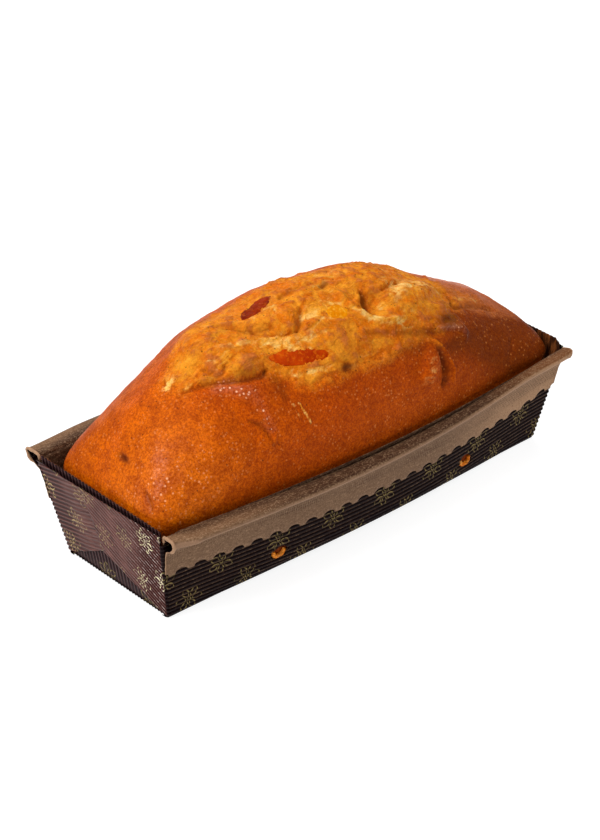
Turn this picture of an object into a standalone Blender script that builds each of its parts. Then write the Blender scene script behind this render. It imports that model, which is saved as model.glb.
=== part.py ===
# Sweet bread loaf with pieces of peach and apricot, standing in its fluted paper loaf mould.
# Sizes are in millimetres and become metres where a mesh is made. X runs along the loaf,
# -Y is the long side with the smooth belly, Z is up, and the mould's foot stands on z = 0.
import bpy
import bmesh
import numpy as np

MM = 0.001

# Paper mould
BASE_LENGTH = 228.0
BASE_WIDTH = 71.0
WALL_HEIGHT = 50.0
END_FLARE = 9.6
SIDE_FLARE = 8.5
FOOT_BOW = 1.5
SIDE_BULGE = 5.6
BULGE_CENTRE = 0.05
PAPER = 1.1
END_INSET = 0.78
FLUTE_PITCH = 2.4
FLUTE_DEPTH = 0.5
SIDE_FLUTES = 11
RIM_TOP_CORNER = 50.6
RIM_TOP_DROP = 4.0
RIM_WIDTH = 7.4
RIM_TAPER = 0.028
RIM_END_EXTRA = 2.2
RIM_END_PINCH = 3.9
RIM_END_BLUNT = 1.8
BAND_FOOT_CORNER = 25.8
BAND_FOOT_DROP = 3.6
SCALLOP_PITCH = 10.15
SCALLOP_DEPTH = 2.4
SCALLOP_COUNT = 23
TAB_TILT = 30.0
FAR_TAB_TILT = 14.0
WRAP_TOP = 49.6
FLAP_TOP_LEFT = 52.0
FLAP_TOP_RIGHT = 53.8
VENT_RADIUS = 4.0
VENTS_X = (-55.6, 60.2)
VENT_Z = 12.0

# Loaf
RIM_LEVEL = 48.0
HALF_LENGTH = 119.9
SPINE_LEFT = -95.0
SPINE_RIGHT = 108.7
SPINE_Y = 4.0
SPINE_BEND = 7.8
FALL_LEFT = 0.67
FALL_RIGHT = 0.47
ROUNDNESS = 1.98
BACK_LEFT_ROUNDNESS = 1.57
FRONT_RIGHT_ROUNDNESS = 1.86
RIGHT_END_ROUNDNESS = 2.28
FOOT_ROUND = 5.0
CRUST_GAP = 2.2
FOOT_GAP = 0.8
LINES_X = 64
LINES_Y = 38

# Fruit
APRICOT_FRONT = (-30.4, -26.5, -19.0, 13.3, 3.4)
APRICOT_BACK = (-29.2, 1.5, 14.0, 8.9, 3.2)
PEACH = (-0.2, -18.3, -5.0, 5.3, 3.6)
POCKET_DEPTH = 2.3
POCKET_MARGIN = 1.7
FRUIT_RISE = 0.5
FRUIT_SINK = 1.5


def clear_scene():
    for item in list(bpy.data.objects):
        bpy.data.objects.remove(item, do_unlink=True)


def make_material(name, colour, roughness):
    mat = bpy.data.materials.new(name)
    mat.use_nodes = True
    shader = mat.node_tree.nodes["Principled BSDF"]
    shader.inputs["Base Color"].default_value = (*colour, 1.0)
    shader.inputs["Roughness"].default_value = roughness
    shader.inputs["Metallic"].default_value = 0.0
    mat.diffuse_color = (*colour, 1.0)
    return mat


def make_object(name, points, faces, mat=None, smooth=False):
    mesh = bpy.data.meshes.new(name)
    mesh.from_pydata([tuple(float(c) * MM for c in p) for p in points], [], faces)
    bm = bmesh.new()
    bm.from_mesh(mesh)
    bmesh.ops.remove_doubles(bm, verts=bm.verts, dist=0.00001)
    bmesh.ops.recalc_face_normals(bm, faces=bm.faces)
    bm.to_mesh(mesh)
    bm.free()
    obj = bpy.data.objects.new(name, mesh)
    bpy.context.scene.collection.objects.link(obj)
    if mat is not None:
        mesh.materials.append(mat)
    for face in mesh.polygons:
        face.use_smooth = smooth
    return obj


def smoothstep(lo, hi, value):
    t = np.clip((value - lo) / (hi - lo), 0.0, 1.0)
    return t * t * (3.0 - 2.0 * t)


# Paper mould: a fluted tray whose long walls bulge, with the rims rolled outward


def end_plane(z):
    return BASE_LENGTH / 2 + END_FLARE * z / WALL_HEIGHT


def bulge(x, z):
    t = x / end_plane(z) - BULGE_CENTRE
    t = np.where(t < 0, t / (1 + BULGE_CENTRE), t / (1 - BULGE_CENTRE))
    return np.clip(1 - t * t, 0, 1) ** 1.5


def wall_out(x, z):
    """Outer face of a long wall, measured from the middle of the mould."""
    lift = 1 - (1 - np.clip(z / 8.0, 0, 1)) ** 2.2
    return BASE_WIDTH / 2 + SIDE_FLARE * z / WALL_HEIGHT + (FOOT_BOW + SIDE_BULGE * lift) * bulge(x, z)


def rim_top(x):
    return RIM_TOP_CORNER - RIM_TOP_DROP * bulge(x, WALL_HEIGHT)


def rim_width(x):
    """Width of the rolled rim: slimmer to the right, and pinched at its left end."""
    ends = RIM_END_EXTRA * smoothstep(85, 120, x) - RIM_END_PINCH * smoothstep(-109, -119, x)
    return RIM_WIDTH - RIM_TAPER * x + ends


def band_foot(x):
    return BAND_FOOT_CORNER - BAND_FOOT_DROP * bulge(x, BAND_FOOT_CORNER)


def loft(name, sections, mat=None):
    count = len(sections[0])
    points = [p for section in sections for p in section]
    faces = []
    for row in range(len(sections) - 1):
        for k in range(count):
            a = row * count + k
            b = row * count + (k + 1) % count
            faces.append((a, b, b + count, a + count))
    faces.append(tuple(range(count))[::-1])
    faces.append(tuple(range((len(sections) - 1) * count, len(sections) * count)))
    return make_object(name, points, faces, mat)


def flute_levels(x):
    """Heights of the flutes' crests and hollows, evenly spaced along the bent paper."""
    fine = np.linspace(0.0, band_foot(x), 60)
    out = wall_out(x, fine)
    path = np.concatenate([[0.0], np.cumsum(np.hypot(np.diff(fine), np.diff(out)))])
    return np.interp(np.linspace(0.0, path[-1] - 0.4, 2 * SIDE_FLUTES + 1), path, fine)


def wall_section(t, side):
    """One closed cut through a long wall: fluted face, lip, then the plain inner face."""
    foot = BASE_WIDTH / 2
    ring = [(-3.0, 0.3), (-1.2, 0.3), (-1.0, 0.0)]
    ring = [(t * (BASE_LENGTH / 2 - END_INSET), foot + offset, z) for offset, z in ring]
    top = rim_top(t * end_plane(WALL_HEIGHT)) - 0.7
    face = []
    for k, z in enumerate(flute_levels(t * end_plane(14.0))):
        face.append((-0.6 if k == 0 else -FLUTE_DEPTH * (k % 2), z))
    face += [(-0.1, 38.0), (-0.3, top), (-0.8, top), (-PAPER, 36.0), (-PAPER, 20.0)]
    face += [(-PAPER, 8.0), (-PAPER - 0.2, 3.6)]
    for offset, z in face:
        x = t * (end_plane(z) - END_INSET)
        ring.append((x, wall_out(x, z) + offset, z))
    ring.append((t * (BASE_LENGTH / 2 - END_INSET), foot - 3.0, PAPER))
    return [(x, side * y, z) for x, y, z in ring]


def base_slab():
    """The flat bottom sheet, its flutes running the length of the mould."""
    half = BASE_WIDTH / 2 - 1.9
    flutes = int(2 * half / FLUTE_PITCH)
    pitch = 2 * half / flutes
    profile = []
    for k in range(flutes):
        y = -half + pitch * (k - 0.175)
        profile += [(y, 0.0), (y + 0.35 * pitch, 0.0), (y + 0.7 * pitch, FLUTE_DEPTH)]
    profile += [(half, 0.0), (half, PAPER - 0.1), (-half, PAPER - 0.1)]
    reach = BASE_LENGTH / 2 - 0.9
    return loft("base_slab", [[(x, y, z) for y, z in profile] for x in (-reach, reach)])


def rim_x(t, z, inward=0.0):
    """Rim ends: short of the corner on the left; on the right the tube's inner half runs past it."""
    left = -(119.2 + (z - 28.0) * 0.11)
    right = 119.4 + 1.2 * smoothstep(28.0, 47.0, z) + 2.6 * inward
    return left + (right - left) * (t + 1) / 2


def rim_section(t, side):
    """The rolled rim and its band: one folded sheet, open as a tube, glued to the wall."""
    xm = rim_x(t, WALL_HEIGHT, 0.5)
    top = rim_top(xm)
    width = rim_width(xm)
    foot = band_foot(xm) + SCALLOP_DEPTH
    blunt = RIM_END_BLUNT * smoothstep(-107, -118, xm)
    glue = foot + 0.6 * (top - foot)
    lip = wall_out(xm, top)
    low = wall_out(xm, foot)
    mid = wall_out(xm, glue)
    outer = [
        (lip - 0.75, top - 0.7),
        (lip + 0.2, top),
        (lip + width - 1.2, top - 0.3),
        (lip + width, top - 1.4),
        (lip + width - 0.5, top - 3.0 - blunt),
        (mid + 0.8, glue),
        (low + 0.45, foot),
    ]
    inner = [
        (low - 0.3, foot),
        (mid + 0.0, glue + 0.4),
        (lip + width - 1.2, top - 2.4 - blunt),
        (lip + width - 1.6, top - 1.2),
        (lip + 0.5, top - 0.9),
        (lip - 0.25, top - 2.4),
    ]
    ring = []
    for out, z in outer + inner:
        inward = smoothstep(lip + width, lip + 0.4 * width, out) * smoothstep(top - 6.0, top - 3.0, z)
        ring.append((rim_x(t, z, inward), side * out, z))
    return ring


def scallop(x, side):
    """One kraft tongue of the band's cut edge, between two round notches."""
    foot = band_foot(x)
    half = SCALLOP_PITCH / 2
    outline = [(0.2 - half, 3.1), (1.5 - half, 1.4), (2.8 - half, 0.0)]
    outline += [(-dx, dz) for dx, dz in outline[::-1]]
    points = []
    for depth in (0.4, -0.35):
        for dx, dz in outline:
            z = band_foot(x + dx) + dz
            points.append((x + dx, side * (wall_out(x + dx, z) + depth), z))
    count = len(outline)
    faces = [tuple(range(count)), tuple(range(count, 2 * count))[::-1]]
    for k in range(count):
        n = (k + 1) % count
        faces.append((k, n, n + count, k + count))
    return make_object("scallop", points, faces)


def fluted_plate(name, outline, angle, thickness, end, lean=0.0, sink=0.0):
    """A fluted sheet in the plane of an end wall, cut to a convex outline (y, height along the
    slope). The flutes run at the given angle from the foot line."""
    along = np.array([np.cos(np.radians(angle)), np.sin(np.radians(angle))])
    across = np.array([-along[1], along[0]])
    middle = np.mean(outline, axis=0)
    reach = 70.0
    count = int(2 * reach / FLUTE_PITCH)
    profile = []
    for k in range(count + 1):
        s = -reach + FLUTE_PITCH * k
        profile += [(s, -FLUTE_DEPTH), (s + FLUTE_PITCH / 2, 0.0)]
    profile += [(profile[-1][0], -thickness), (-reach, -thickness)]
    points = []
    for side in (-reach, reach):
        for s, depth in profile:
            flat = middle + along * side + across * s
            points.append((flat[0], flat[1], depth))
    size = len(profile)
    faces = [tuple(range(size))[::-1], tuple(range(size, 2 * size))]
    for k in range(size):
        n = (k + 1) % size
        faces.append((k, n, n + size, k + size))
    bm = bmesh.new()
    verts = [bm.verts.new(p) for p in points]
    for face in faces:
        bm.faces.new([verts[k] for k in face])
    bmesh.ops.recalc_face_normals(bm, faces=bm.faces)
    for k, start in enumerate(outline):
        stop = outline[(k + 1) % len(outline)]
        edge = np.subtract(stop, start)
        outward = (edge[1], -edge[0], 0.0)
        geom = list(bm.verts) + list(bm.edges) + list(bm.faces)
        cut = bmesh.ops.bisect_plane(
            bm, geom=geom, dist=1e-5, plane_co=(start[0], start[1], 0.0), plane_no=outward, clear_outer=True
        )
        rim = [item for item in cut["geom_cut"] if isinstance(item, bmesh.types.BMEdge)]
        bmesh.ops.holes_fill(bm, edges=rim, sides=0)
    slope = np.array([END_FLARE, 0.0, WALL_HEIGHT])
    slope = slope / np.linalg.norm(slope)
    normal = np.array([slope[2], 0.0, -slope[0]])
    placed = []
    for vert in bm.verts:
        y, s, depth = vert.co
        p = np.array([BASE_LENGTH / 2, y, 0.0]) + slope * s + normal * (depth - sink - lean * s)
        placed.append((end * p[0], p[1], p[2]))
    bm.verts.ensure_lookup_table()
    bm.verts.index_update()
    faces = [[v.index for v in face.verts] for face in bm.faces]
    bm.free()
    return make_object(name, placed, faces)


def end_wall(end):
    """Inner flap with upright flutes, and the two tabs of the long walls folded over it."""
    foot = BASE_WIDTH / 2 - 0.2
    spread = SIDE_FLARE / WALL_HEIGHT
    tip = foot + spread * WRAP_TOP - 0.5
    seam_foot = (4.5, 17.0)
    seam_top = (12.0, WRAP_TOP)
    near = [(-foot, 0.7), seam_foot, seam_top, (-tip, WRAP_TOP + 1.6)]
    far_top = WRAP_TOP - 0.3
    far = [(seam_foot[0] - 0.3, 17.2), (foot, 0.7), (tip, far_top), (seam_top[0] - 0.4, far_top)]
    flap_half = foot - 0.6
    flap_top = FLAP_TOP_LEFT if end < 0 else FLAP_TOP_RIGHT
    flap_tip = flap_half + spread * flap_top - 0.8
    corner = 1.0 if end < 0 else 4.5
    flap = [
        (-flap_half, 0.65),
        (flap_half, 0.65),
        (flap_tip, flap_top - corner),
        (flap_tip - 0.8 * corner, flap_top),
        (0.8 * corner - flap_tip, flap_top),
        (-flap_tip, flap_top - corner),
    ]
    fluted_plate("tab_near", near, TAB_TILT, 1.0, end)
    fluted_plate("tab_far", far, 180.0 - FAR_TAB_TILT, 0.9, end, sink=0.09)
    fluted_plate("flap", flap, 90.0, 1.0, end, lean=0.012, sink=1.05)


def vent(x, side):
    ring = []
    for reach in (30.0, 56.0):
        row = []
        for k in range(10):
            a = 2 * np.pi * k / 10
            row.append((x + VENT_RADIUS * np.cos(a), side * reach, VENT_Z + VENT_RADIUS * np.sin(a)))
        ring.append(row)
    return loft("vent", ring)


def gather(before, name):
    """Move every object made since 'before' into a collection of its own."""
    group = bpy.data.collections.new(name)
    bpy.context.scene.collection.children.link(group)
    for obj in list(bpy.context.scene.collection.objects):
        if obj.name not in before:
            bpy.context.scene.collection.objects.unlink(obj)
            group.objects.link(obj)
    return group


def combine(target, group, operation):
    step = target.modifiers.new(operation.lower(), "BOOLEAN")
    step.operand_type = "COLLECTION"
    step.collection = group
    step.operation = operation
    step.solver = "EXACT"
    bpy.context.view_layer.objects.active = target
    bpy.ops.object.modifier_apply(modifier=step.name)
    for obj in list(group.objects):
        bpy.data.objects.remove(obj, do_unlink=True)
    bpy.data.collections.remove(group)


def pierce(wall, side):
    """Two round vents through a long wall."""
    before = {obj.name for obj in bpy.context.scene.collection.objects}
    for x in VENTS_X:
        vent(x, side)
    combine(wall, gather(before, "vents"), "DIFFERENCE")


def weld(obj, distance):
    """Close up the shortest edges that the joints leave."""
    bm = bmesh.new()
    bm.from_mesh(obj.data)
    bmesh.ops.remove_doubles(bm, verts=bm.verts, dist=distance)
    bmesh.ops.dissolve_degenerate(bm, edges=bm.edges, dist=distance / 4)
    bm.to_mesh(obj.data)
    bm.free()


def build_case():
    case = base_slab()
    case.name = "paper_case"
    before = {obj.name for obj in bpy.context.scene.collection.objects}
    steps = np.linspace(-1, 1, 10)
    rim_steps = np.concatenate([[-1.0, -0.93], np.linspace(-0.78, 1, 9)])
    for side in (-1, 1):
        pierce(loft("wall", [wall_section(t, side) for t in steps]), side)
        loft("rim", [rim_section(t, side) for t in rim_steps])
        for k in range(SCALLOP_COUNT):
            scallop((k - (SCALLOP_COUNT - 1) / 2) * SCALLOP_PITCH, side)
    for end in (-1, 1):
        end_wall(end)
    combine(case, gather(before, "sheets"), "UNION")
    weld(case, 0.000004)
    case.data.name = "paper_case"
    case.data.materials.clear()
    case.data.materials.append(make_material("brown_fluted_paper", (0.055, 0.028, 0.024), 0.62))
    return case


# Loaf: a long dome over the mould's plan, its flanks following the walls down to a flat foot


def crest(x):
    """Height of the loaf's top line along its length, one smooth curve through a few stations."""
    stations = np.array([-90.0, -65.0, -40.0, -15.0, 10.0, 35.0, 60.0, 85.0])
    heights = np.array([92.0, 106.5, 106.9, 110.1, 107.5, 104.6, 93.7, 80.4])
    count = len(stations)
    step = stations[1] - stations[0]
    system = np.eye(count)
    right = np.zeros(count)
    for k in range(1, count - 1):
        system[k, k - 1 : k + 2] = (1, 4, 1)
        right[k] = 6 * (heights[k - 1] - 2 * heights[k] + heights[k + 1]) / step**2
    bend = np.linalg.solve(system, right)
    k = np.clip(((x - stations[0]) // step).astype(int), 0, count - 2)
    a = (stations[k + 1] - x) / step
    b = 1 - a
    curve = a * heights[k] + b * heights[k + 1]
    return curve + ((a**3 - a) * bend[k] + (b**3 - b) * bend[k + 1]) * step**2 / 6


def half_width(x, y):
    """Half width of the loaf at the rim: the mould's wall less the gap the crust leaves."""
    shrink = 0.8 + (CRUST_GAP - 0.8) * smoothstep(-88, -66, x) * smoothstep(112, 90, x)
    gap = np.where(y < 0, shrink, CRUST_GAP + 0.8 * smoothstep(-60, -110, x))
    return wall_out(x, RIM_LEVEL) - PAPER - gap


def corner_power(x, y):
    front = np.where(x < 0, 10.0, 12.0)
    back = np.where(x < 0, 8.0, 7.0)
    return np.where(y < 0, front, back)


def spine_y(x):
    """The top line in plan: behind the middle, bending forward at the left end."""
    return SPINE_Y - SPINE_BEND * smoothstep(-35.0, -92.0, x)


def dome_fraction(x, y):
    """0 on the top line, 1 on the outline at the rim, measured straight out from the top line."""
    spine = np.clip(x, SPINE_LEFT, SPINE_RIGHT)
    middle_y = spine_y(spine)
    dx = x - spine
    dy = y - middle_y
    length = np.hypot(dx, dy) + 1e-9
    low = np.zeros_like(x)
    high = np.full_like(x, 200.0)
    for _ in range(34):
        middle = (low + high) / 2
        px = spine + dx / length * middle
        py = middle_y + dy / length * middle
        power = corner_power(px, py)
        inside = np.abs(px / HALF_LENGTH) ** power + np.abs(py / half_width(px, py)) ** power < 1
        low = np.where(inside, middle, low)
        high = np.where(inside, high, middle)
    return length / low, spine


def dome(x, y):
    """Height of the smooth crust: leaner at the back of the left end, falling away past the top line."""
    fraction, spine = dome_fraction(x, y)
    offset = y - spine_y(spine)
    back_left = smoothstep(-35.0, -75.0, x) * smoothstep(0.0, 14.0, offset)
    front_right = smoothstep(40.0, 90.0, x) * smoothstep(0.0, 14.0, -offset)
    right_end = smoothstep(SPINE_RIGHT - 4.0, SPINE_RIGHT + 12.0, x) * (1 - front_right)
    power = ROUNDNESS + (BACK_LEFT_ROUNDNESS - ROUNDNESS) * back_left
    power = power + (FRONT_RIGHT_ROUNDNESS - ROUNDNESS) * front_right
    power = power + (RIGHT_END_ROUNDNESS - ROUNDNESS) * right_end
    fall = FALL_LEFT * np.clip(SPINE_LEFT - x, 0, None) + FALL_RIGHT * np.clip(x - SPINE_RIGHT, 0, None)
    rise = np.clip(1 - fraction**power, 0, 1) ** (1 / power)
    return RIM_LEVEL + (crest(spine) - fall - RIM_LEVEL) * rise


def frame_at(x, y):
    """A point of the dome with its outward normal."""
    x = np.asarray(x, float)
    y = np.asarray(y, float)
    e = 0.4
    slope_x = (dome(x + e, y) - dome(x - e, y)) / (2 * e)
    slope_y = (dome(x, y + e) - dome(x, y - e)) / (2 * e)
    normal = np.stack([-slope_x, -slope_y, np.ones_like(x)], -1)
    normal /= np.linalg.norm(normal, axis=-1, keepdims=True)
    return np.stack([x, y, dome(x, y)], -1), normal


def crust_axes(x, y, turn):
    """Axes lying on the crust at (x, y): along the turned direction, across it, and outward."""
    centre, normal = frame_at(np.array([x]), np.array([y]))
    centre, normal = centre[0], normal[0]
    along = np.array([np.cos(np.radians(turn)), np.sin(np.radians(turn)), 0.0])
    along -= normal * (along @ normal)
    along /= np.linalg.norm(along)
    return centre, along, np.cross(normal, along), normal


def local(points, x, y, turn):
    """Coordinates on the crust around (x, y): along the turned direction, and across it."""
    centre, along, across, normal = crust_axes(x, y, turn)
    away = points - centre
    near = smoothstep(22.0, 14.0, np.abs(away @ normal))
    return away @ along, away @ across, near


def lump(points, x, y, turn, length, width, height):
    a, b, near = local(points, x, y, turn)
    return height * near * np.exp(-((a / length) ** 2) - (b / width) ** 2)


def path_distance(points, stops):
    """Distance across the crust to a line of stops, signed toward +Y, and the share of the way."""
    corners, _ = frame_at(np.array([s[0] for s in stops], float), np.array([s[1] for s in stops], float))
    runs = corners[1:] - corners[:-1]
    ways = runs / np.linalg.norm(runs, axis=1)[:, None]
    best = np.full(len(points), 1e9)
    signed = np.zeros(len(points))
    along = np.zeros(len(points))
    for k, run in enumerate(runs):
        t = np.clip((points - corners[k]) @ run / (run @ run), 0, 1)
        away = points - (corners[k] + t[:, None] * run)
        reach = np.linalg.norm(away, axis=1)
        before = ways[max(k - 1, 0)] + ways[k]
        after = ways[k] + ways[min(k + 1, len(ways) - 1)]
        way = np.where(t[:, None] <= 0, before, np.where(t[:, None] >= 1, after, ways[k]))
        closer = reach < best
        side = np.sign(way[:, 0] * away[:, 1] - way[:, 1] * away[:, 0])
        best = np.where(closer, reach, best)
        signed = np.where(closer, side * reach, signed)
        along = np.where(closer, (k + t) / len(runs), along)
    return best, signed, along


def groove(points, stops, width, depth):
    away, _, _ = path_distance(points, stops)
    return -depth * np.exp(-((away / width) ** 2))


def pocket(points, fruit):
    x, y, turn, length, width = fruit
    a, b, near = local(points, x, y, turn)
    rho = np.hypot(a / (length + POCKET_MARGIN), b / (width + POCKET_MARGIN))
    return -POCKET_DEPTH * near * smoothstep(1.25, 0.85, rho)


def relief(points):
    """Cracks, lips, lumps and hollows of the crust, in millimetres outward."""
    lip = [(-86, -13), (-81, -17), (-77, -19), (-71, -23), (-64.6, -25.3), (-58, -26.6), (-50, -27)]
    lip += [(-43, -31), (-30, -36), (-14, -37.5), (6, -37), (22, -36.3), (36, -36.5), (50, -35)]
    lip += [(62, -32.5), (68, -25), (80, -19.5), (98, -19)]
    _, signed, share = path_distance(points, lip)
    held = smoothstep(0.0, 0.08, share) * smoothstep(1.0, 0.9, share)
    height = -1.1 * smoothstep(-1.0, 3.0, signed) * np.exp(-np.maximum(signed, 0.0) / 9.0) * held
    height += groove(points, [(-86, -14), (-77, -20), (-68, -24.5), (-58, -27), (-51, -27.5)], 1.8, 0.9)
    height += groove(points, [(-74, -14.2), (-73.6, -17), (-71, -20), (-69, -20.7), (-65.4, -19)], 1.9, 1.3)
    height += groove(points, [(-54, 2), (-46, -3.5), (-42, -8), (-33, -12)], 2.6, 1.5)
    height += groove(points, [(-15.7, -11), (-19, -14), (-21.2, -17.8)], 1.9, 2.0)
    height += groove(points, [(32.8, -13), (38.4, -11.6), (47.2, -9.1)], 1.9, 1.3)
    height += groove(points, [(72.5, -8.4), (76.3, -10.6), (74.3, -16), (72.2, -19.5)], 1.9, 1.3)
    height += groove(points, [(72, -20.7), (80, -19.5), (90, -18), (98, -19)], 2.0, 1.3)
    height += groove(points, [(-116.7, -26), (-118, -31)], 2.2, 1.0)
    height += groove(points, [(91.2, -34.7), (93.1, -37.7), (91.3, -41)], 2.0, 0.9)
    height += groove(points, [(39.8, -36.9), (42.5, -38.8), (42.8, -41.2), (42.3, -43.2)], 1.7, 1.5)
    height += groove(points, [(43.5, -37), (44.3, -39.1), (44.4, -41), (46.2, -44.7)], 2.0, -1.2)
    height += groove(points, [(-79, -16.5), (-71, -21.5), (-66, -21.5), (-56, -21), (-47, -21.5)], 2.6, -1.0)
    height += groove(points, [(-18.8, -18.4), (-9.5, -20.6), (2.6, -21.8)], 2.6, -1.3)
    height += groove(points, [(7.2, 1), (8, -5), (9.3, -12), (12.4, -21), (19, -26.3), (28, -28)], 2.3, -1.4)
    height += groove(points, [(30.7, -24), (45.3, -22), (60.8, -23)], 3.0, -1.2)
    height += groove(points, [(51, -32), (58, -31.4), (66, -30.8), (67, -32.7), (64, -35.2)], 2.1, -1.1)
    height += lump(points, 24.5, -17.6, 29, 8.6, 4.4, -3.6)
    height += lump(points, -28, -8, -15, 10.0, 6.0, 1.9)
    height += lump(points, 53, -13.5, 8, 17.0, 6.0, 1.8)
    height += lump(points, -65.0, 1, 25, 7.0, 9.0, 1.2)
    height += lump(points, 62, -26, 20, 4.5, 3.0, 1.2)
    height += lump(points, 59.4, 12.8, -10, 8.0, 2.6, 1.5)
    height += lump(points, 34, -42.6, 90, 8.0, 4.6, 1.8)
    height += lump(points, -1, 2, 0, 12.0, 7.0, 1.2)
    height += lump(points, -16, -29, -20, 9.0, 4.5, 0.8)
    height += lump(points, 98, -8, 60, 7.0, 6.0, 0.9)
    for fruit in (APRICOT_FRONT, APRICOT_BACK, PEACH):
        height += pocket(points, fruit)
    return height


def spaced(low, high, count, density):
    """Grid lines between two ends, packed by a density."""
    fine = np.linspace(low, high, 2001)
    weight = density(fine)
    total = np.concatenate([[0.0], np.cumsum((weight[1:] + weight[:-1]) / 2)])
    return np.interp(np.linspace(0, total[-1], count), total, fine)


def crust_grid():
    """Plan positions of the top grid: a squared grid eased into the outline's round corners."""
    lines_a = spaced(
        -1,
        1,
        LINES_X,
        lambda a: 0.75 + 0.75 * (smoothstep(-0.46, -0.38, a) - smoothstep(0.06, 0.12, a))
        + 1.0 * np.abs(a) ** 8 + 0.5 * smoothstep(-0.7, -0.95, a),
    )
    lines_b = spaced(
        -1,
        1,
        LINES_Y,
        lambda b: 0.8 + 0.6 * (smoothstep(-0.85, -0.75, b) - smoothstep(0.12, 0.3, b)) + 2.2 * np.abs(b) ** 7,
    )
    a, b = np.meshgrid(lines_a, lines_b, indexing="ij")
    edge = np.maximum(np.abs(a), np.abs(b)) + 1e-9
    power = corner_power(a, b)
    pull = (np.abs(a / edge) ** power + np.abs(b / edge) ** power) ** (-1 / power)
    pull = 1 + (pull - 1) * edge**4
    x = HALF_LENGTH * a * pull
    y = b * pull
    y = y * half_width(x, y)
    return x, y


def build_loaf(mat):
    x, y = crust_grid()
    rows, cols = x.shape
    fraction, _ = dome_fraction(x.ravel(), y.ravel())
    base, normal = frame_at(x.ravel() * 0.9995, y.ravel() * 0.9995)
    base[:, 0], base[:, 1] = x.ravel(), y.ravel()
    base[:, 2] = dome(x.ravel(), y.ravel())
    fade = smoothstep(1.0, 0.93, fraction)
    top = base + normal * (relief(base) * fade)[:, None]
    index = np.arange(rows * cols).reshape(rows, cols)
    faces = []
    for i in range(rows - 1):
        for j in range(cols - 1):
            faces.append((index[i, j], index[i + 1, j], index[i + 1, j + 1], index[i, j + 1]))
    ring = list(index[:, 0]) + list(index[-1, 1:]) + list(index[-2::-1, -1]) + list(index[0, -2:0:-1])
    points = [tuple(p) for p in top]
    outline = base[ring]
    share_x = outline[:, 0] / HALF_LENGTH
    share_y = outline[:, 1] / half_width(outline[:, 0], outline[:, 1])
    foot = PAPER + 0.3
    levels = [(18.0, 0.0), (foot + 3.0, 1.2), (foot, FOOT_ROUND)]
    last = ring
    for z, tuck in levels:
        slack = FOOT_GAP + (CRUST_GAP - FOOT_GAP) * smoothstep(24.0, RIM_LEVEL, z)
        reach = end_plane(z) - 3.3 - slack - tuck
        px = share_x * reach
        side = wall_out(px, z) - PAPER - slack - tuck
        py = share_y * side
        start = len(points)
        points += [(px[k], py[k], z) for k in range(len(ring))]
        fresh = list(range(start, start + len(ring)))
        for k in range(len(ring)):
            n = (k + 1) % len(ring)
            faces.append((last[k], last[n], fresh[n], fresh[k]))
        last = fresh
    points.append((0.0, 0.0, foot))
    for k in range(len(last)):
        faces.append((last[k], last[(k + 1) % len(last)], len(points) - 1))
    return make_object("loaf", points, faces, mat, smooth=True)


# Fruit: flat pieces lying in pockets of the crust


def build_fruit(name, fruit, mat, rows=4, spokes=14):
    x, y, turn, length, width = fruit
    centre, along, across, _ = crust_axes(x, y, turn)
    layers = 2 * rows - 1
    swing = np.pi * (np.arange(layers) + 0.5) / layers
    angle = 2 * np.pi * np.arange(spokes) / spokes
    ragged = 1 + 0.05 * np.sin(3 * angle + x) + 0.04 * np.sin(5 * angle + y)
    reach = np.sin(swing)[:, None] ** 0.8 * ragged
    a = (length * reach * np.cos(angle)).ravel()
    b = (width * reach * np.sin(angle)).ravel()
    lift = np.repeat(np.cos(swing), spokes)
    flat = centre + a[:, None] * along + b[:, None] * across
    ground, up = frame_at(flat[:, 0], flat[:, 1])
    for _ in range(4):
        drift = flat - ground
        drift -= up * np.sum(drift * up, axis=1, keepdims=True)
        ground, up = frame_at(ground[:, 0] + drift[:, 0], ground[:, 1] + drift[:, 1])
    points = ground + up * (np.where(lift > 0, FRUIT_RISE, FRUIT_SINK) * lift)[:, None]
    faces = []
    for k in range(layers - 1):
        for s in range(spokes):
            n = (s + 1) % spokes
            faces.append((k * spokes + s, k * spokes + n, (k + 1) * spokes + n, (k + 1) * spokes + s))
    faces.append(tuple(range(spokes)))
    faces.append(tuple(range((layers - 1) * spokes, layers * spokes)))
    return make_object(name, points, faces, mat, smooth=True)


clear_scene()
build_case()
build_loaf(make_material("golden_crust", (0.52, 0.17, 0.025), 0.42))
build_fruit("apricot_piece_front", APRICOT_FRONT, make_material("apricot_flesh", (0.55, 0.055, 0.006), 0.35))
build_fruit("apricot_piece_back", APRICOT_BACK, make_material("apricot_flesh_dark", (0.4, 0.03, 0.004), 0.38))
build_fruit("peach_piece", PEACH, make_material("peach_flesh", (0.85, 0.42, 0.04), 0.35))
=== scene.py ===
import bmesh
import bpy
import numpy as np
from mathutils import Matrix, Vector, noise


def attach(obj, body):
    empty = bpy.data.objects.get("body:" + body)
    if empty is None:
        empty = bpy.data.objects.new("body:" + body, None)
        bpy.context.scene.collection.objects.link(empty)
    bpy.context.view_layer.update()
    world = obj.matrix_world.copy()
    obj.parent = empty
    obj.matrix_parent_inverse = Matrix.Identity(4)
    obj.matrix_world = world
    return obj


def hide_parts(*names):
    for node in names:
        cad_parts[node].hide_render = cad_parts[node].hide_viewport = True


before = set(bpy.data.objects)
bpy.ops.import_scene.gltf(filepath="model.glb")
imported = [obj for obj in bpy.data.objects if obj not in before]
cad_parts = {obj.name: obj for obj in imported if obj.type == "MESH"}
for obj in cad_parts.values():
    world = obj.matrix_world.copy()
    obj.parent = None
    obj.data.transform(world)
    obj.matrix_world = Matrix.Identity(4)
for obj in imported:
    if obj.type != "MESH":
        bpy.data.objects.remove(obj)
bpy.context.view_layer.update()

# The mould's walls and floor, and the loaf, are drawn in millimetres. X runs along the loaf,
# the smooth belly faces -Y, and everything stands on z = 0.
MM = 0.001


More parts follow.
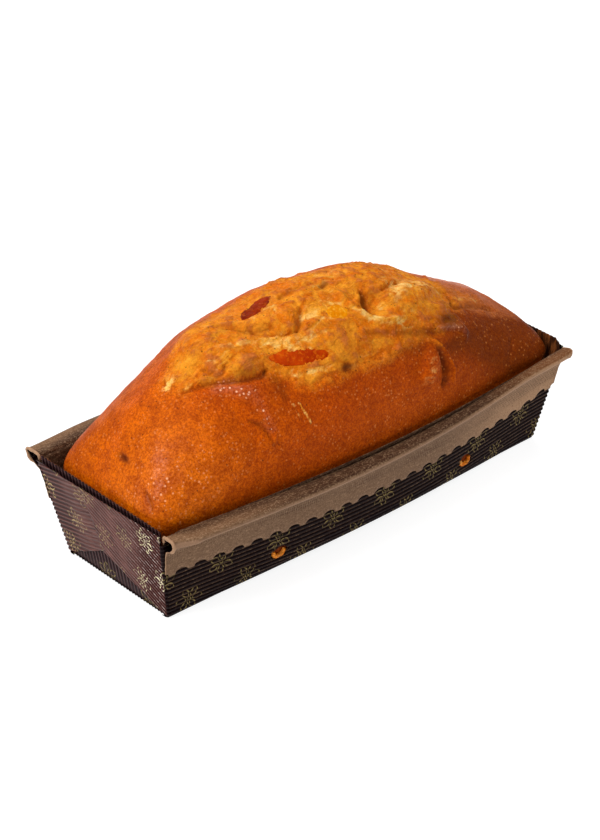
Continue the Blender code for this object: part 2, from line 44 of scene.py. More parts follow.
# Fluted outer sheet of the mould.
# Dark brown coated paper, pressed into fine lengthwise flutes, with flowers printed in gold.
# One cut blank: the floor and the two long walls, which bulge outward when it is filled.

BASE_LENGTH, BASE_WIDTH, WALL_HEIGHT = 228.0, 71.0, 50.0
END_FLARE, SIDE_FLARE = 9.6, 8.5
SIDE_LEAN = SIDE_FLARE / WALL_HEIGHT
FOOT_BOW, SIDE_BULGE, BULGE_CENTRE = 1.5, 5.6, 0.05
FLUTE_PITCH, FLUTE_DEPTH, FLUTED_SHEET = 2.4, 0.5, 0.22
FOLD_RADIUS = 1.3
BLANK_EDGE = 47.5


def smoothstep(lo, hi, value):
    """0 up to lo and 1 from hi on, with a soft start and end."""
    t = np.clip((value - lo) / (hi - lo), 0.0, 1.0)
    return t * t * (3.0 - 2.0 * t)


def end_plane(z):
    """How far the end walls are from the middle at a height."""
    return BASE_LENGTH / 2 + END_FLARE * z / WALL_HEIGHT


def bulge(x, z):
    """1 where a long wall bulges most, 0 at its corners."""
    t = x / end_plane(z) - BULGE_CENTRE
    t = np.where(t < 0, t / (1 + BULGE_CENTRE), t / (1 - BULGE_CENTRE))
    return np.clip(1 - t * t, 0, 1) ** 1.5


def wall_out(x, z):
    """Outer face of a long wall, measured from the middle of the mould."""
    lift = 1 - (1 - np.clip(z / 8.0, 0, 1)) ** 2.2
    return BASE_WIDTH / 2 + SIDE_FLARE * z / WALL_HEIGHT + (FOOT_BOW + SIDE_BULGE * lift) * bulge(x, z)


def colour(red, green, blue):
    """A screen colour from 0 to 255 as the light it gives back."""
    c = np.array([red, green, blue]) / 255.0
    return (*np.where(c <= 0.04045, c / 12.92, ((c + 0.055) / 1.055) ** 2.4), 1.0)


def place(tree, kind, sockets=(), **options):
    """A node in a tree, with its options set and its sockets filled by values or by links."""
    node = tree.nodes.new(kind)
    for key, value in options.items():
        setattr(node, key, value)
    for key, value in dict(sockets).items():
        if isinstance(value, bpy.types.NodeSocket):
            tree.links.new(value, node.inputs[key])
        else:
            node.inputs[key].default_value = value
    return node


def calc(tree, operation, *values):
    return place(tree, "ShaderNodeMath", dict(enumerate(values)), operation=operation).outputs[0]


def times(tree, product, *factors):
    for factor in factors:
        product = calc(tree, "MULTIPLY", product, factor)
    return product


def plus(tree, total, *terms):
    for term in terms:
        total = calc(tree, "ADD", total, term)
    return total


def minus(tree, whole, part):
    return calc(tree, "SUBTRACT", whole, part)


def ramp(tree, value, low, high, out_low=0.0, out_high=1.0):
    """Carries a value smoothly from one range to another."""
    ends = {"Value": value, "From Min": low, "From Max": high, "To Min": out_low, "To Max": out_high}
    return place(tree, "ShaderNodeMapRange", ends, interpolation_type="SMOOTHSTEP").outputs["Result"]


def mix(tree, share, first, second, how="MIX"):
    """Two colours mixed: sockets, screen colours of three numbers, or linear ones of four."""
    node = place(tree, "ShaderNodeMix", {"Factor": share}, data_type="RGBA", blend_type=how)
    for slot, value in (("A", first), ("B", second)):
        socket = [s for s in node.inputs if s.name == slot and s.type == "RGBA"][0]
        if isinstance(value, bpy.types.NodeSocket):
            tree.links.new(value, socket)
        else:
            socket.default_value = value if len(value) == 4 else colour(*value)
    return [s for s in node.outputs if s.type == "RGBA"][0]


def grain(tree, where, scale, detail=3.0, rough=0.55, twist=0.0):
    sizes = {"Vector": where, "Scale": scale, "Detail": detail, "Roughness": rough, "Distortion": twist}
    return place(tree, "ShaderNodeTexNoise", sizes).outputs[0]


def own_place(tree, stretch=(1, 1, 1)):
    """The piece's own coordinates, drawn out along an axis where the pattern is."""
    spot = place(tree, "ShaderNodeTexCoord").outputs["Object"]
    return place(tree, "ShaderNodeMapping", {"Vector": spot, "Scale": stretch}).outputs[0]


def mark(tree, name):
    """One of the numbers that the mesh carries."""
    return place(tree, "ShaderNodeAttribute", attribute_name=name).outputs["Fac"]


def new_material(name, **sockets):
    mat = bpy.data.materials.new(name)
    mat.use_nodes = True
    shader = mat.node_tree.nodes["Principled BSDF"]
    for key, value in sockets.items():
        shader.inputs[key.replace("_", " ")].default_value = value
    return mat, mat.node_tree, shader


def emboss(tree, shader, height, strength, distance):
    """Relief finer than the mesh, its distance in metres."""
    bump = place(tree, "ShaderNodeBump", {"Height": height, "Strength": strength, "Distance": distance})
    tree.links.new(bump.outputs[0], shader.inputs["Normal"])


def gold_rosettes():
    """Outlined six-leaved rosettes around a ring, in rows that step by half a space."""
    tree = bpy.data.node_groups.new("gold_rosettes", "ShaderNodeTree")
    for name, size in (("Along", 0.0), ("Across", 0.0), ("Spacing", 31.0), ("Row", 15.0), ("Line", 0.5)):
        tree.interface.new_socket(name, in_out="INPUT", socket_type="NodeSocketFloat").default_value = size
    tree.interface.new_socket("Print", in_out="OUTPUT", socket_type="NodeSocketFloat")
    given = place(tree, "NodeGroupInput").outputs
    rows = calc(tree, "DIVIDE", given["Across"], given["Row"])
    row = calc(tree, "FLOOR", rows)
    odd = calc(tree, "FLOORED_MODULO", row, 2.0)
    steps = plus(tree, calc(tree, "DIVIDE", given["Along"], given["Spacing"]), times(tree, odd, 0.5))
    x = times(tree, minus(tree, calc(tree, "FRACT", steps), 0.5), given["Spacing"])
    y = times(tree, minus(tree, calc(tree, "FRACT", rows), 0.5), given["Row"])
    reach = calc(tree, "SQRT", plus(tree, times(tree, x, x), times(tree, y, y)))
    sector = 2 * np.pi / 6
    turn = plus(tree, calc(tree, "DIVIDE", calc(tree, "ARCTAN2", y, x), sector), times(tree, odd, 0.5))
    part = calc(tree, "FRACT", plus(tree, turn, 0.5))
    leaf = times(tree, minus(tree, part, 0.5), sector)

    def line(distance):
        low, high = (times(tree, given["Line"], share) for share in (0.75, 0.4))
        return ramp(tree, calc(tree, "ABSOLUTE", distance), low, high)

    across = calc(tree, "ABSOLUTE", times(tree, reach, calc(tree, "SINE", leaf)))
    out = times(tree, reach, calc(tree, "COSINE", leaf))
    middle = calc(tree, "DIVIDE", minus(tree, out, 4.3), 2.7)
    swell = times(tree, minus(tree, 1.0, times(tree, middle, middle)), 1.5)
    inside = ramp(tree, calc(tree, "ABSOLUTE", middle), 1.02, 0.98)
    shape = times(tree, line(minus(tree, across, swell)), inside)
    shape = calc(tree, "MAXIMUM", shape, line(minus(tree, reach, 0.8)))
    place(tree, "NodeGroupOutput", {"Print": shape})
    return tree


ROSETTES = gold_rosettes()


def brown_coated_paper(name, valley, ridge_highlight, gilt_tone, shine, rough_at):
    """Dark coated paper: crests paler from rubbed ink and a painted highlight, streaked where it is pressed,
    gold print worn.
    """
    mat, tree, shader = new_material(name, Roughness=rough_at, IOR=1.5, Specular_IOR_Level=shine)
    across, along = mark(tree, "across"), mark(tree, "along")
    wave = calc(tree, "COSINE", times(tree, across, 2 * np.pi / FLUTE_PITCH))
    # The crest mask paints a highlight along the flute crests and a painted sheen over the pressed zones.
    crest = calc(tree, "MAXIMUM", ramp(tree, wave, 0.2, 1.0), times(tree, mark(tree, "pressed"), 0.6))
    here = own_place(tree)
    mottle = grain(tree, here, 900.0)
    cloud = grain(tree, here, 60.0, 2.0)
    paper = mix(tree, crest, valley, ridge_highlight)
    paper = mix(tree, ramp(tree, cloud, 0.35, 0.7, 0.0, 0.35), paper, valley)
    paper = mix(tree, ramp(tree, mottle, 0.52, 0.8, 0.0, 0.2), paper, (104, 70, 60))
    lengthwise = place(tree, "ShaderNodeCombineXYZ", {"X": times(tree, along, 0.07), "Y": across})
    streaks = grain(tree, lengthwise.outputs[0], 1.5, 3.0, 0.6, 0.4)
    pressed, lit = mark(tree, "pressed"), mark(tree, "lit")
    thin = times(tree, ramp(tree, streaks, 0.5, 0.36, 0.0, 0.75), pressed)
    paper = mix(tree, thin, paper, valley)
    # Pale streaks over the pressed zones: a painted sheen.
    sheen_streaks = times(tree, ramp(tree, streaks, 0.52, 0.66, 0.0, 0.45), pressed)
    paper = mix(tree, sheen_streaks, paper, (150, 100, 90))
    # Painted highlight: pale glints along the flute crests near the near corner, where the lit mark is set.
    dashes = place(tree, "ShaderNodeCombineXYZ", {"X": times(tree, along, 0.3), "Y": across})
    glints = times(tree, ramp(tree, grain(tree, dashes.outputs[0], 1.1, 2.0), 0.5, 0.6), lit)
    glints = times(tree, glints, ramp(tree, wave, 0.55, 0.95))
    paper = mix(tree, times(tree, glints, 0.8), paper, (206, 184, 176))
    prints = tree.nodes.new("ShaderNodeGroup")
    prints.node_tree = ROSETTES
    for name, value in (("Along", along), ("Across", across)):
        tree.links.new(value, prints.inputs[name])
    worn = ramp(tree, grain(tree, here, 700.0, 2.0), 0.36, 0.5, 0.2, 1.0)
    shown = times(tree, worn, ramp(tree, wave, -0.7, 0.4, 0.3, 1.0))
    gilt = times(tree, prints.outputs["Print"], mark(tree, "printed"), shown)
    # The gold print is painted brighter where the lit mark is set: a painted highlight.
    gilt_with_highlight = mix(tree, lit, gilt_tone, (240, 228, 186))
    tree.links.new(mix(tree, gilt, paper, gilt_with_highlight), shader.inputs["Base Color"])
    tree.links.new(times(tree, gilt, 0.3), shader.inputs["Metallic"])
    tree.links.new(ramp(tree, mottle, 0.3, 0.9, rough_at + 0.06, rough_at - 0.06), shader.inputs["Roughness"])
    emboss(tree, shader, mottle, 0.25, 0.0001)
    return mat


def kraft_paper():
    """Uncoated brown paper with long fibres; across runs from the lip's back to the band's foot."""
    mat, tree, shader = new_material("kraft_paper", Roughness=0.7, IOR=1.4, Specular_IOR_Level=0.2)
    across, along = mark(tree, "across"), mark(tree, "along")
    fibres = grain(tree, own_place(tree, (0.25, 1, 1)), 1500.0, 3.0, 0.65)
    specks = grain(tree, own_place(tree), 1300.0, 2.0, 0.6)
    patches = grain(tree, own_place(tree, (0.4, 1, 1)), 60.0, 2.0)
    paper = mix(tree, ramp(tree, along, 30.0, 110.0), (120, 90, 66), (172, 132, 98))
    paper = mix(tree, ramp(tree, patches, 0.3, 0.75, 0.0, 0.35), paper, (104, 74, 50))
    # The lid is painted darker in the middle: painted shade under the bulge of the loaf.
    middle = times(tree, ramp(tree, along, -105.0, -40.0), ramp(tree, along, 115.0, 50.0))
    lid_with_painted_shade = mix(tree, ramp(tree, along, -60.0, 60.0), (118, 86, 60), (112, 68, 36))
    lid_with_painted_shade = mix(tree, middle, lid_with_painted_shade, (56, 30, 12))
    paper = mix(tree, ramp(tree, across, -0.5, -1.6), paper, lid_with_painted_shade)
    paper = mix(tree, ramp(tree, across, -3.5, -9.0, 0.0, 0.9), paper, (52, 28, 12))
    paper = mix(tree, ramp(tree, fibres, 0.42, 0.75, 0.0, 0.3), paper, (176, 138, 104))
    paper = mix(tree, ramp(tree, specks, 0.52, 0.68, 0.0, 0.42), paper, (54, 34, 20))
    paper = mix(tree, ramp(tree, specks, 0.46, 0.32, 0.0, 0.3), paper, (190, 156, 122))
    # Painted highlight: a pale strip along the rounded fold at the roll's outer edge.
    foot_of_roll = minus(tree, across, ramp(tree, along, -110.0, 100.0, 3.0, 1.4))
    fold_highlight = times(tree, ramp(tree, across, -0.9, 0.1), ramp(tree, foot_of_roll, 0.5, -0.5))
    paper = mix(tree, times(tree, fold_highlight, 0.45), paper, (176, 138, 110))
    dash = calc(tree, "COSINE", times(tree, along, 2 * np.pi / 1.25))
    row = calc(tree, "COSINE", times(tree, across, 2 * np.pi / 1.5))
    band = times(tree, ramp(tree, across, 2.6, 4.0), ramp(tree, across, 18.5, 16.5))
    dent = times(tree, ramp(tree, dash, -0.4, 0.6), ramp(tree, row, -0.6, 0.4, 0.4, 1.0), band)
    dent = times(tree, dent, ramp(tree, patches, 0.3, 0.6, 0.4, 1.0))
    paper = mix(tree, times(tree, dent, 0.7), paper, (66, 46, 32))
    tree.links.new(paper, shader.inputs["Base Color"])
    height = minus(tree, times(tree, fibres, 0.5), dent)
    emboss(tree, shader, height, 0.5, 0.00015)
    return mat


def stained_kraft():
    """The same paper inside the mould, streaked and darkened by fat from the dough."""
    mat, tree, shader = new_material("stained_kraft", Roughness=0.6, IOR=1.4, Specular_IOR_Level=0.12)
    streaks = grain(tree, own_place(tree, (1, 1, 0.12)), 420.0, 3.0, 0.6)
    specks = grain(tree, own_place(tree), 1500.0, 1.0)
    paper = mix(tree, ramp(tree, streaks, 0.38, 0.64), (46, 20, 8), (128, 72, 34))
    paper = mix(tree, ramp(tree, specks, 0.5, 0.7, 0.0, 0.4), paper, (34, 14, 6))
    tree.links.new(paper, shader.inputs["Base Color"])
    emboss(tree, shader, streaks, 0.4, 0.0002)
    return mat


# Valley, ridge highlight and gold, then shine and roughness: the walls, the glued tabs, the flaps
# The tabs' copy is burnished and shinier; it and the flaps' copy are the same paper painted lighter, as
# painted light on the ends that face the left lamp.
BROWN_PAPER, BURNISHED_LIT_PAPER, FLAP_LIT_PAPER = (
    brown_coated_paper(*given)
    for given in (
        ("brown_coated_paper", (12, 0, 2), (40, 31, 31), (136, 118, 74), 0.03, 0.5),
        ("brown_burnished_lit_paper", (52, 20, 17), (110, 64, 55), (186, 162, 108), 0.12, 0.38),
        ("brown_flap_lit_paper", (34, 15, 17), (84, 58, 57), (136, 118, 74), 0.06, 0.45),
    )
)
KRAFT = kraft_paper()
STAINED = stained_kraft()


def paper_tree():
    """Geometry nodes that press flutes into a sheet and give it its thickness and two faces."""
    tree = bpy.data.node_groups.new("pressed_paper", "GeometryNodeTree")
    tree.interface.new_socket("Geometry", in_out="INPUT", socket_type="NodeSocketGeometry")
    for name, size in (("Pitch", FLUTE_PITCH), ("Depth", FLUTE_DEPTH), ("Thickness", FLUTED_SHEET)):
        tree.interface.new_socket(name, in_out="INPUT", socket_type="NodeSocketFloat").default_value = size
    for name in ("Face", "Back"):
        tree.interface.new_socket(name, in_out="INPUT", socket_type="NodeSocketMaterial")
    tree.interface.new_socket("Geometry", in_out="OUTPUT", socket_type="NodeSocketGeometry")
    given = place(tree, "NodeGroupInput").outputs

    def held(name):
        node = place(tree, "GeometryNodeInputNamedAttribute", {"Name": name}, data_type="FLOAT")
        return node.outputs["Attribute"]

    phase = times(tree, calc(tree, "DIVIDE", held("across"), given["Pitch"]), 2 * np.pi)
    hollow = times(tree, minus(tree, calc(tree, "COSINE", phase), 1.0), 0.5 * MM)
    hollow = times(tree, hollow, given["Depth"], held("raised"))
    normal = place(tree, "GeometryNodeInputNormal").outputs[0]
    inward = place(tree, "ShaderNodeVectorMath", {0: normal, "Scale": hollow}, operation="SCALE").outputs[0]
    moved = {"Geometry": given["Geometry"], "Offset": inward}
    fluted = place(tree, "GeometryNodeSetPosition", moved).outputs[0]
    face = place(tree, "GeometryNodeSetMaterial", {"Geometry": fluted, "Material": given["Face"]}).outputs[0]
    grown = {"Mesh": fluted, "Offset Scale": times(tree, given["Thickness"], -MM), "Individual": False}
    back = place(tree, "GeometryNodeExtrudeMesh", grown).outputs[0]
    back = place(tree, "GeometryNodeFlipFaces", {"Mesh": back}).outputs[0]
    back = place(tree, "GeometryNodeSetMaterial", {"Geometry": back, "Material": given["Back"]}).outputs[0]
    both = place(tree, "GeometryNodeJoinGeometry")
    tree.links.new(face, both.inputs[0])
    tree.links.new(back, both.inputs[0])
    joined = place(tree, "GeometryNodeMergeByDistance", {"Geometry": both.outputs[0], "Distance": 0.000001})
    solid = place(tree, "GeometryNodeRealizeInstances", {"Geometry": joined.outputs[0]})
    place(tree, "NodeGroupOutput", {"Geometry": solid.outputs[0]})
    return tree


PRESSED_PAPER = paper_tree()


def flat_mesh(name, points, faces, marks):
    """A mesh from millimetres, carrying its marks (one number for each point)."""
    mesh = bpy.data.meshes.new(name)
    mesh.from_pydata((np.asarray(points, float) * MM).tolist(), [], faces)
    for key, values in marks.items():
        mesh.attributes.new(key, "FLOAT", "POINT").data.foreach_set("value", np.asarray(values, np.float32))
    obj = bpy.data.objects.new(name, mesh)
    bpy.context.scene.collection.objects.link(obj)
    return obj


def paper_marks(across, along, raised=0.0, pressed=0.0, printed=0.0):
    """The marks of a sheet of paper; one value may stand for the whole sheet."""
    marks = {"across": across, "along": along, "raised": raised, "pressed": pressed, "printed": printed}
    return {key: np.zeros(len(across)) + values for key, values in marks.items()}


def smooth(obj):
    for face in obj.data.polygons:
        face.use_smooth = True
    return obj


def settle(obj):
    """Turns an object with its modifiers into a plain mesh."""
    view = bpy.context.evaluated_depsgraph_get()
    view.update()
    final = obj.evaluated_get(view)
    made = bpy.data.meshes.new_from_object(final, preserve_all_data_layers=True, depsgraph=view)
    obj.modifiers.clear()
    obj.data = made
    return smooth(obj)


def press(obj, depth=FLUTE_DEPTH, thickness=FLUTED_SHEET, face=BROWN_PAPER, back=BROWN_PAPER):
    """Runs the paper tree on a sheet whose faces look out of the mould."""
    step = obj.modifiers.new("paper", "NODES")
    step.node_group = PRESSED_PAPER
    sizes = {"Depth": depth, "Thickness": thickness, "Face": face, "Back": back}
    for item in PRESSED_PAPER.interface.items_tree:
        if item.in_out == "INPUT" and item.name in sizes:
            step[item.identifier] = sizes[item.name]
    return settle(obj)


def grid_faces(rows, columns, flip=False):
    index = np.arange(rows * columns).reshape(rows, columns)
    corners = [index[:-1, :-1], index[1:, :-1], index[1:, 1:], index[:-1, 1:]]
    faces = np.stack([c.ravel() for c in corners], 1)
    return (faces[:, ::-1] if flip else faces).tolist()


def tube_faces(rings, around):
    """Faces of a tube that is built ring by ring and closed at both ends."""
    faces = []
    for k in range(rings - 1):
        for m in range(around):
            n = (m + 1) % around
            faces.append((k * around + m, k * around + n, (k + 1) * around + n, (k + 1) * around + m))
    return faces + [tuple(range(around))[::-1], tuple(range((rings - 1) * around, rings * around))]


# Cut through a long wall, from under the floor's edge up: height, and how far it is tucked in
WALL_Z = np.concatenate([[0.0, 0.0, 0.25, 0.7, 1.2], np.linspace(2.0, 49.0, 60)])
WALL_TUCK = np.concatenate([[3.2, 0.9, 0.45, 0.15, 0.0], np.zeros(60)])
PRINT_START, PRINT_STEP = 4.0, 9.0


def wall_sheet(name, side):
    """A long wall, carried round both corners by a small fold."""
    across = np.concatenate([np.arange(-2.2, 32.0, FLUTE_PITCH / 8), np.arange(32.5, BLANK_EDGE, 1.5)])
    steps = np.concatenate([np.full(5, -1.0), np.linspace(-1, 1, 81), np.full(5, 1.0)])
    turns = np.concatenate([np.linspace(-90, -15, 5), np.zeros(81), np.linspace(15, 90, 5)])
    points, along = [], []
    for t, turn in zip(steps, np.radians(turns)):
        out = wall_out(t * (BASE_LENGTH / 2 - FOLD_RADIUS), WALL_Z) - WALL_TUCK
        path = np.concatenate([[0.0], np.cumsum(np.hypot(np.diff(out), np.diff(WALL_Z)))]) - 2.3
        height = np.interp(across, path, WALL_Z)
        x = t * (end_plane(height) - FOLD_RADIUS)
        y = wall_out(x, height) - np.interp(across, path, WALL_TUCK)
        x = x + FOLD_RADIUS * np.sin(turn)
        y = y - FOLD_RADIUS * (1 - np.cos(turn))
        points += [(px, side * py, pz) for px, py, pz in zip(x, y, height)]
        along += list(x + PRINT_START + side * PRINT_STEP)
    raised = smoothstep(-0.9, 0.3, across) * smoothstep(33.0, 31.0, across)
    marks = paper_marks(np.tile(across, len(steps)), along, np.tile(raised, len(steps)), printed=1.0)
    return press(flat_mesh(name, points, grid_faces(len(steps), len(across), flip=side > 0), marks))


wall_front = wall_sheet("mould_wall_front", -1)
wall_back = wall_sheet("mould_wall_back", 1)

# Floor of the same blank, its flutes running the length of the mould
rows = np.arange(-17 * 8, 17 * 8 + 1) / 8 * FLUTE_PITCH
floor_x = np.linspace(-BASE_LENGTH / 2 + 0.6, BASE_LENGTH / 2 - 0.6, 40)
floor_points = [(x, y, 0.0) for x in floor_x for y in rows / rows[-1] * (wall_out(x, 0.0) - 1.6)]
floor_marks = paper_marks(np.tile(rows, 40), np.repeat(floor_x, len(rows)), raised=1.0, printed=1.0)
mould_floor = press(flat_mesh("mould_floor", floor_points, grid_faces(40, len(rows), flip=True), floor_marks))


# Vents in the long walls.
# Two small holes are punched through each long wall, low down, so that steam can leave.
# They are torn more than cut, and the dough has squeezed into them.

VENTS_X, VENT_Z, VENT_RADIUS, VENT_CORNERS = (-55.6, 60.2), 12.0, 3.8, 22


def punch(wall, side):
    """Cuts the two vents of one long wall through a sheet."""
    cutter = bmesh.new()
    for x in VENTS_X:
        ring = []
        for k in range(VENT_CORNERS):
            angle = 2 * np.pi * k / VENT_CORNERS
            tear = 0.5 * noise.noise(Vector((x, side * 3.0, k * 0.8))) + 0.3 * np.sin(2 * angle + x)
            reach = VENT_RADIUS + tear
            ring.append((x + 1.1 * reach * np.cos(angle), VENT_Z + 0.9 * reach * np.sin(angle)))
        ends = [
            [cutter.verts.new((px * MM, side * y * MM, pz * MM)) for px, pz in ring] for y in (32.0, 56.0)
        ]
        cutter.faces.new(ends[0])
        cutter.faces.new(ends[1][::-1])
        for k in range(VENT_CORNERS):
            n = (k + 1) % VENT_CORNERS
            cutter.faces.new((ends[0][n], ends[0][k], ends[1][k], ends[1][n]))
    bmesh.ops.recalc_face_normals(cutter, faces=cutter.faces)
    mesh = bpy.data.meshes.new("vent_cutter")
    cutter.to_mesh(mesh)
    cutter.free()
    tool = bpy.data.objects.new("vent_cutter", mesh)
    bpy.context.scene.collection.objects.link(tool)
    step = wall.modifiers.new("vents", "BOOLEAN")
    step.object = tool
    step.operation = "DIFFERENCE"
    step.solver = "EXACT"
    settle(wall)
    bpy.data.objects.remove(tool, do_unlink=True)


# Liner of the mould.
# A flat sheet of kraft paper glued to the backs of the flutes, brown and greasy from the oven.

LINER_DEPTH, LINER_INSET, LINER_SHEET = 0.78, 1.4, 0.3


def liner():
    """One sheet from the lip of a long wall, across the floor, to the other lip."""
    levels = np.concatenate([np.linspace(48.5, 4.0, 24), [3.0, 2.2, 1.6, 1.2]])
    points, columns = [], np.linspace(-1, 1, 61)
    for t in columns:
        ring = []
        for z in levels:
            x = t * (end_plane(z) - LINER_INSET)
            tuck = 2.2 * smoothstep(4.0, 1.2, z)
            ring.append((x, wall_out(x, z) - LINER_DEPTH - tuck, z))
        x = t * (BASE_LENGTH / 2 - LINER_INSET)
        ring += [(x, y, 0.8) for y in np.linspace(31.0, 0.0, 8)]
        ring = ring + [(px, -py, pz) for px, py, pz in ring[-2::-1]]
        points += ring
    marks = paper_marks(np.full(len(points), -12.0), np.repeat(columns * 120, len(ring)))
    obj = flat_mesh("mould_liner", points, grid_faces(len(columns), len(ring), flip=True), marks)
    return press(obj, 0.0, LINER_SHEET, KRAFT, KRAFT)


mould_liner = liner()


# Ends of the mould.
# At each end a flap of the floor stands up inside, its flutes upright, and two tabs of the long
# walls are folded over it, one on the other, and pressed flat and shiny where they are glued.

TAB_RISES = {-1: np.tan(np.radians(30.0)), 1: np.tan(np.radians(14.0))}
FLAP_TOPS, WRAP_TOP = {-1: 52.0, 1: 53.8}, 49.6


def end_face(name, end, outline, to_flat, to_depth, marks_at, spacing, depth, back, front):
    """A sheet in the plane of an end wall, cut to a convex outline (y, height up the slope)."""
    q_range, y_range = spacing
    q, y = np.meshgrid(q_range, y_range, indexing="ij")
    flat_y, flat_s = to_flat(q.ravel(), y.ravel())
    bm = bmesh.new()
    verts = [bm.verts.new((a, b, 0.0)) for a, b in zip(flat_y, flat_s)]
    for face in grid_faces(len(q_range), len(y_range)):
        bm.faces.new([verts[k] for k in face])
    for k, start in enumerate(outline):
        stop = outline[(k + 1) % len(outline)]
        edge = np.subtract(stop, start)
        cut = {"plane_co": (*start, 0.0), "plane_no": (edge[1], -edge[0], 0.0)}
        geom = list(bm.verts) + list(bm.edges) + list(bm.faces)
        bmesh.ops.bisect_plane(bm, geom=geom, dist=1e-4, clear_outer=True, **cut)
    bmesh.ops.recalc_face_normals(bm, faces=bm.faces)
    flat = np.array([v.co[:2] for v in bm.verts])
    bm.verts.index_update()
    faces = [[v.index for v in f.verts] for f in bm.faces]
    up = bm.faces[:][0].normal.z > 0
    bm.free()
    slope = np.array([END_FLARE, 0.0, WALL_HEIGHT])
    slope = slope / np.linalg.norm(slope)
    normal = np.array([slope[2], 0.0, -slope[0]])
    sink = to_depth(flat[:, 0], flat[:, 1])
    points = np.array([BASE_LENGTH / 2, 0.0, 0.0]) + flat[:, 1:2] * slope - sink[:, None] * normal
    points[:, 1] = flat[:, 0]
    points[:, 0] *= end
    if up != (end > 0):
        faces = [face[::-1] for face in faces]
    obj = flat_mesh(name, points, faces, marks_at(flat[:, 0], flat[:, 1]))
    return press(obj, depth, FLUTED_SHEET, front, back)


def tab(name, end, side):
    """side -1 is the near tab, which lies on top; +1 is the far one."""
    root = BASE_WIDTH / 2 - FOLD_RADIUS
    lean = SIDE_LEAN * 0.982
    slant = TAB_RISES[side]

    def to_flat(q, y):
        return side * y, q + (root + lean * q - y) * slant

    def to_depth(y, s):
        return smoothstep(20.0, 6.0, y) * 0.62 if side > 0 else np.zeros_like(y)

    def marks_at(y, s):
        q = (s - (root - side * y) * slant) / (1 + lean * slant)
        inward = root + lean * s - side * y
        pressed = smoothstep(9, 24, inward) * (1 if side < 0 else smoothstep(60, 30, inward))
        along = end * (end_plane(s) + inward * np.hypot(1.0, slant)) + PRINT_START + side * PRINT_STEP
        marks = paper_marks(q * 1.0143 + 0.3, along, 1 - 0.6 * pressed, pressed, 1 - 0.45 * pressed)
        # lit sets where highlights are painted into the paper: crest glints and brighter gold near the near
        # corner.
        return {**marks, "lit": smoothstep(30, 6, inward) * (side < 0)}

    foot = BASE_WIDTH / 2 - 1.1
    tip = foot + SIDE_LEAN * WRAP_TOP
    if side < 0:
        outline = [(-foot, 0.4), (4.5, 16.6), (12.0, WRAP_TOP), (-tip, WRAP_TOP + 1.4)]
    else:
        outline = [(4.0, 17.2), (foot, 0.5), (tip, WRAP_TOP - 0.2), (9.0, WRAP_TOP - 0.3)]
    spacing = (np.arange(-26.0, 54.0, FLUTE_PITCH / 8), np.arange(-14.0, 46.0, 2.2))
    finish = (FLUTE_DEPTH, BROWN_PAPER, BURNISHED_LIT_PAPER)
    return end_face(name, end, outline, to_flat, to_depth, marks_at, spacing, *finish)


def flap(name, end):
    """The flap of the floor, its top corners cut off."""
    half = BASE_WIDTH / 2 - 1.6
    top = FLAP_TOPS[end]
    tip = half + SIDE_LEAN * top - 0.8
    corner = 1.2 if end < 0 else 4.5
    outline = [(-half, 0.3), (half, 0.3), (tip, top - corner), (tip - 0.25 * corner, top - 0.35 * corner)]
    outline += [(tip - 0.8 * corner, top)]
    outline += [(-y, s) for y, s in outline[:1:-1]]

    def to_flat(q, y):
        return q, y

    def to_depth(y, s):
        return 1.05 + 0.012 * s

    def marks_at(y, s):
        return paper_marks(y, s + 14.0, smoothstep(0, 8, s), printed=s < 40)

    spacing = (np.arange(-45.0, 45.0, FLUTE_PITCH / 8), np.arange(-1.0, 58.0, 3.0))
    return end_face(name, end, outline, to_flat, to_depth, marks_at, spacing, 0.4, STAINED, FLAP_LIT_PAPER)


end_pieces = []
for end, word in ((-1, "left"), (1, "right")):
    end_pieces.append(flap(f"end_flap_{word}", end))
    end_pieces.append(tab(f"end_tab_far_{word}", end, 1))
    end_pieces.append(tab(f"end_tab_near_{word}", end, -1))

for sheet, side in ((wall_front, -1), (mould_liner, -1), (wall_back, 1), (mould_liner, 1)):
    punch(sheet, side)


# Rolled rims.
# The top of each long wall is rolled outward into a stiff tube of kraft paper. Its outer leaf
# comes down over the flutes as an embossed band, cut below in scallops and glued on.

RIM_TOP_CORNER, RIM_TOP_DROP = 50.6, 4.0
RIM_WIDTH, RIM_TAPER, RIM_END_EXTRA, RIM_END_PINCH = 7.38, 0.028, 2.2, 4.9
BAND_FOOT_CORNER, BAND_FOOT_DROP = 25.8, 3.6
SCALLOP_PITCH, SCALLOP_DEPTH = 10.15, 2.4
RIM_HALF, RIM_SHEET = 120.5, 0.45


def rim_top(x):
    return RIM_TOP_CORNER - RIM_TOP_DROP * bulge(x, WALL_HEIGHT)


def rim_width(x, side):
    """Widest near the left corner, slimmer to the right; the near roll is pinched at its left end."""
    pinch = RIM_END_PINCH * smoothstep(-109, -119, x) if side < 0 else 2.2 * smoothstep(-85, -122, x)
    return RIM_WIDTH - RIM_TAPER * x + RIM_END_EXTRA * smoothstep(85, 120, x) - pinch


def band_foot(x):
    """Lower edge of the band: flat kraft tongues between round notches."""
    foot = BAND_FOOT_CORNER - BAND_FOOT_DROP * bulge(x, BAND_FOOT_CORNER) + 2.6 * smoothstep(94, 118, x)
    notch = np.abs((x / SCALLOP_PITCH + 0.5) % 1.0 - 0.5) * SCALLOP_PITCH
    return foot, SCALLOP_DEPTH * np.sqrt(np.clip(1 - (notch / 3.3) ** 2, 0, 1))


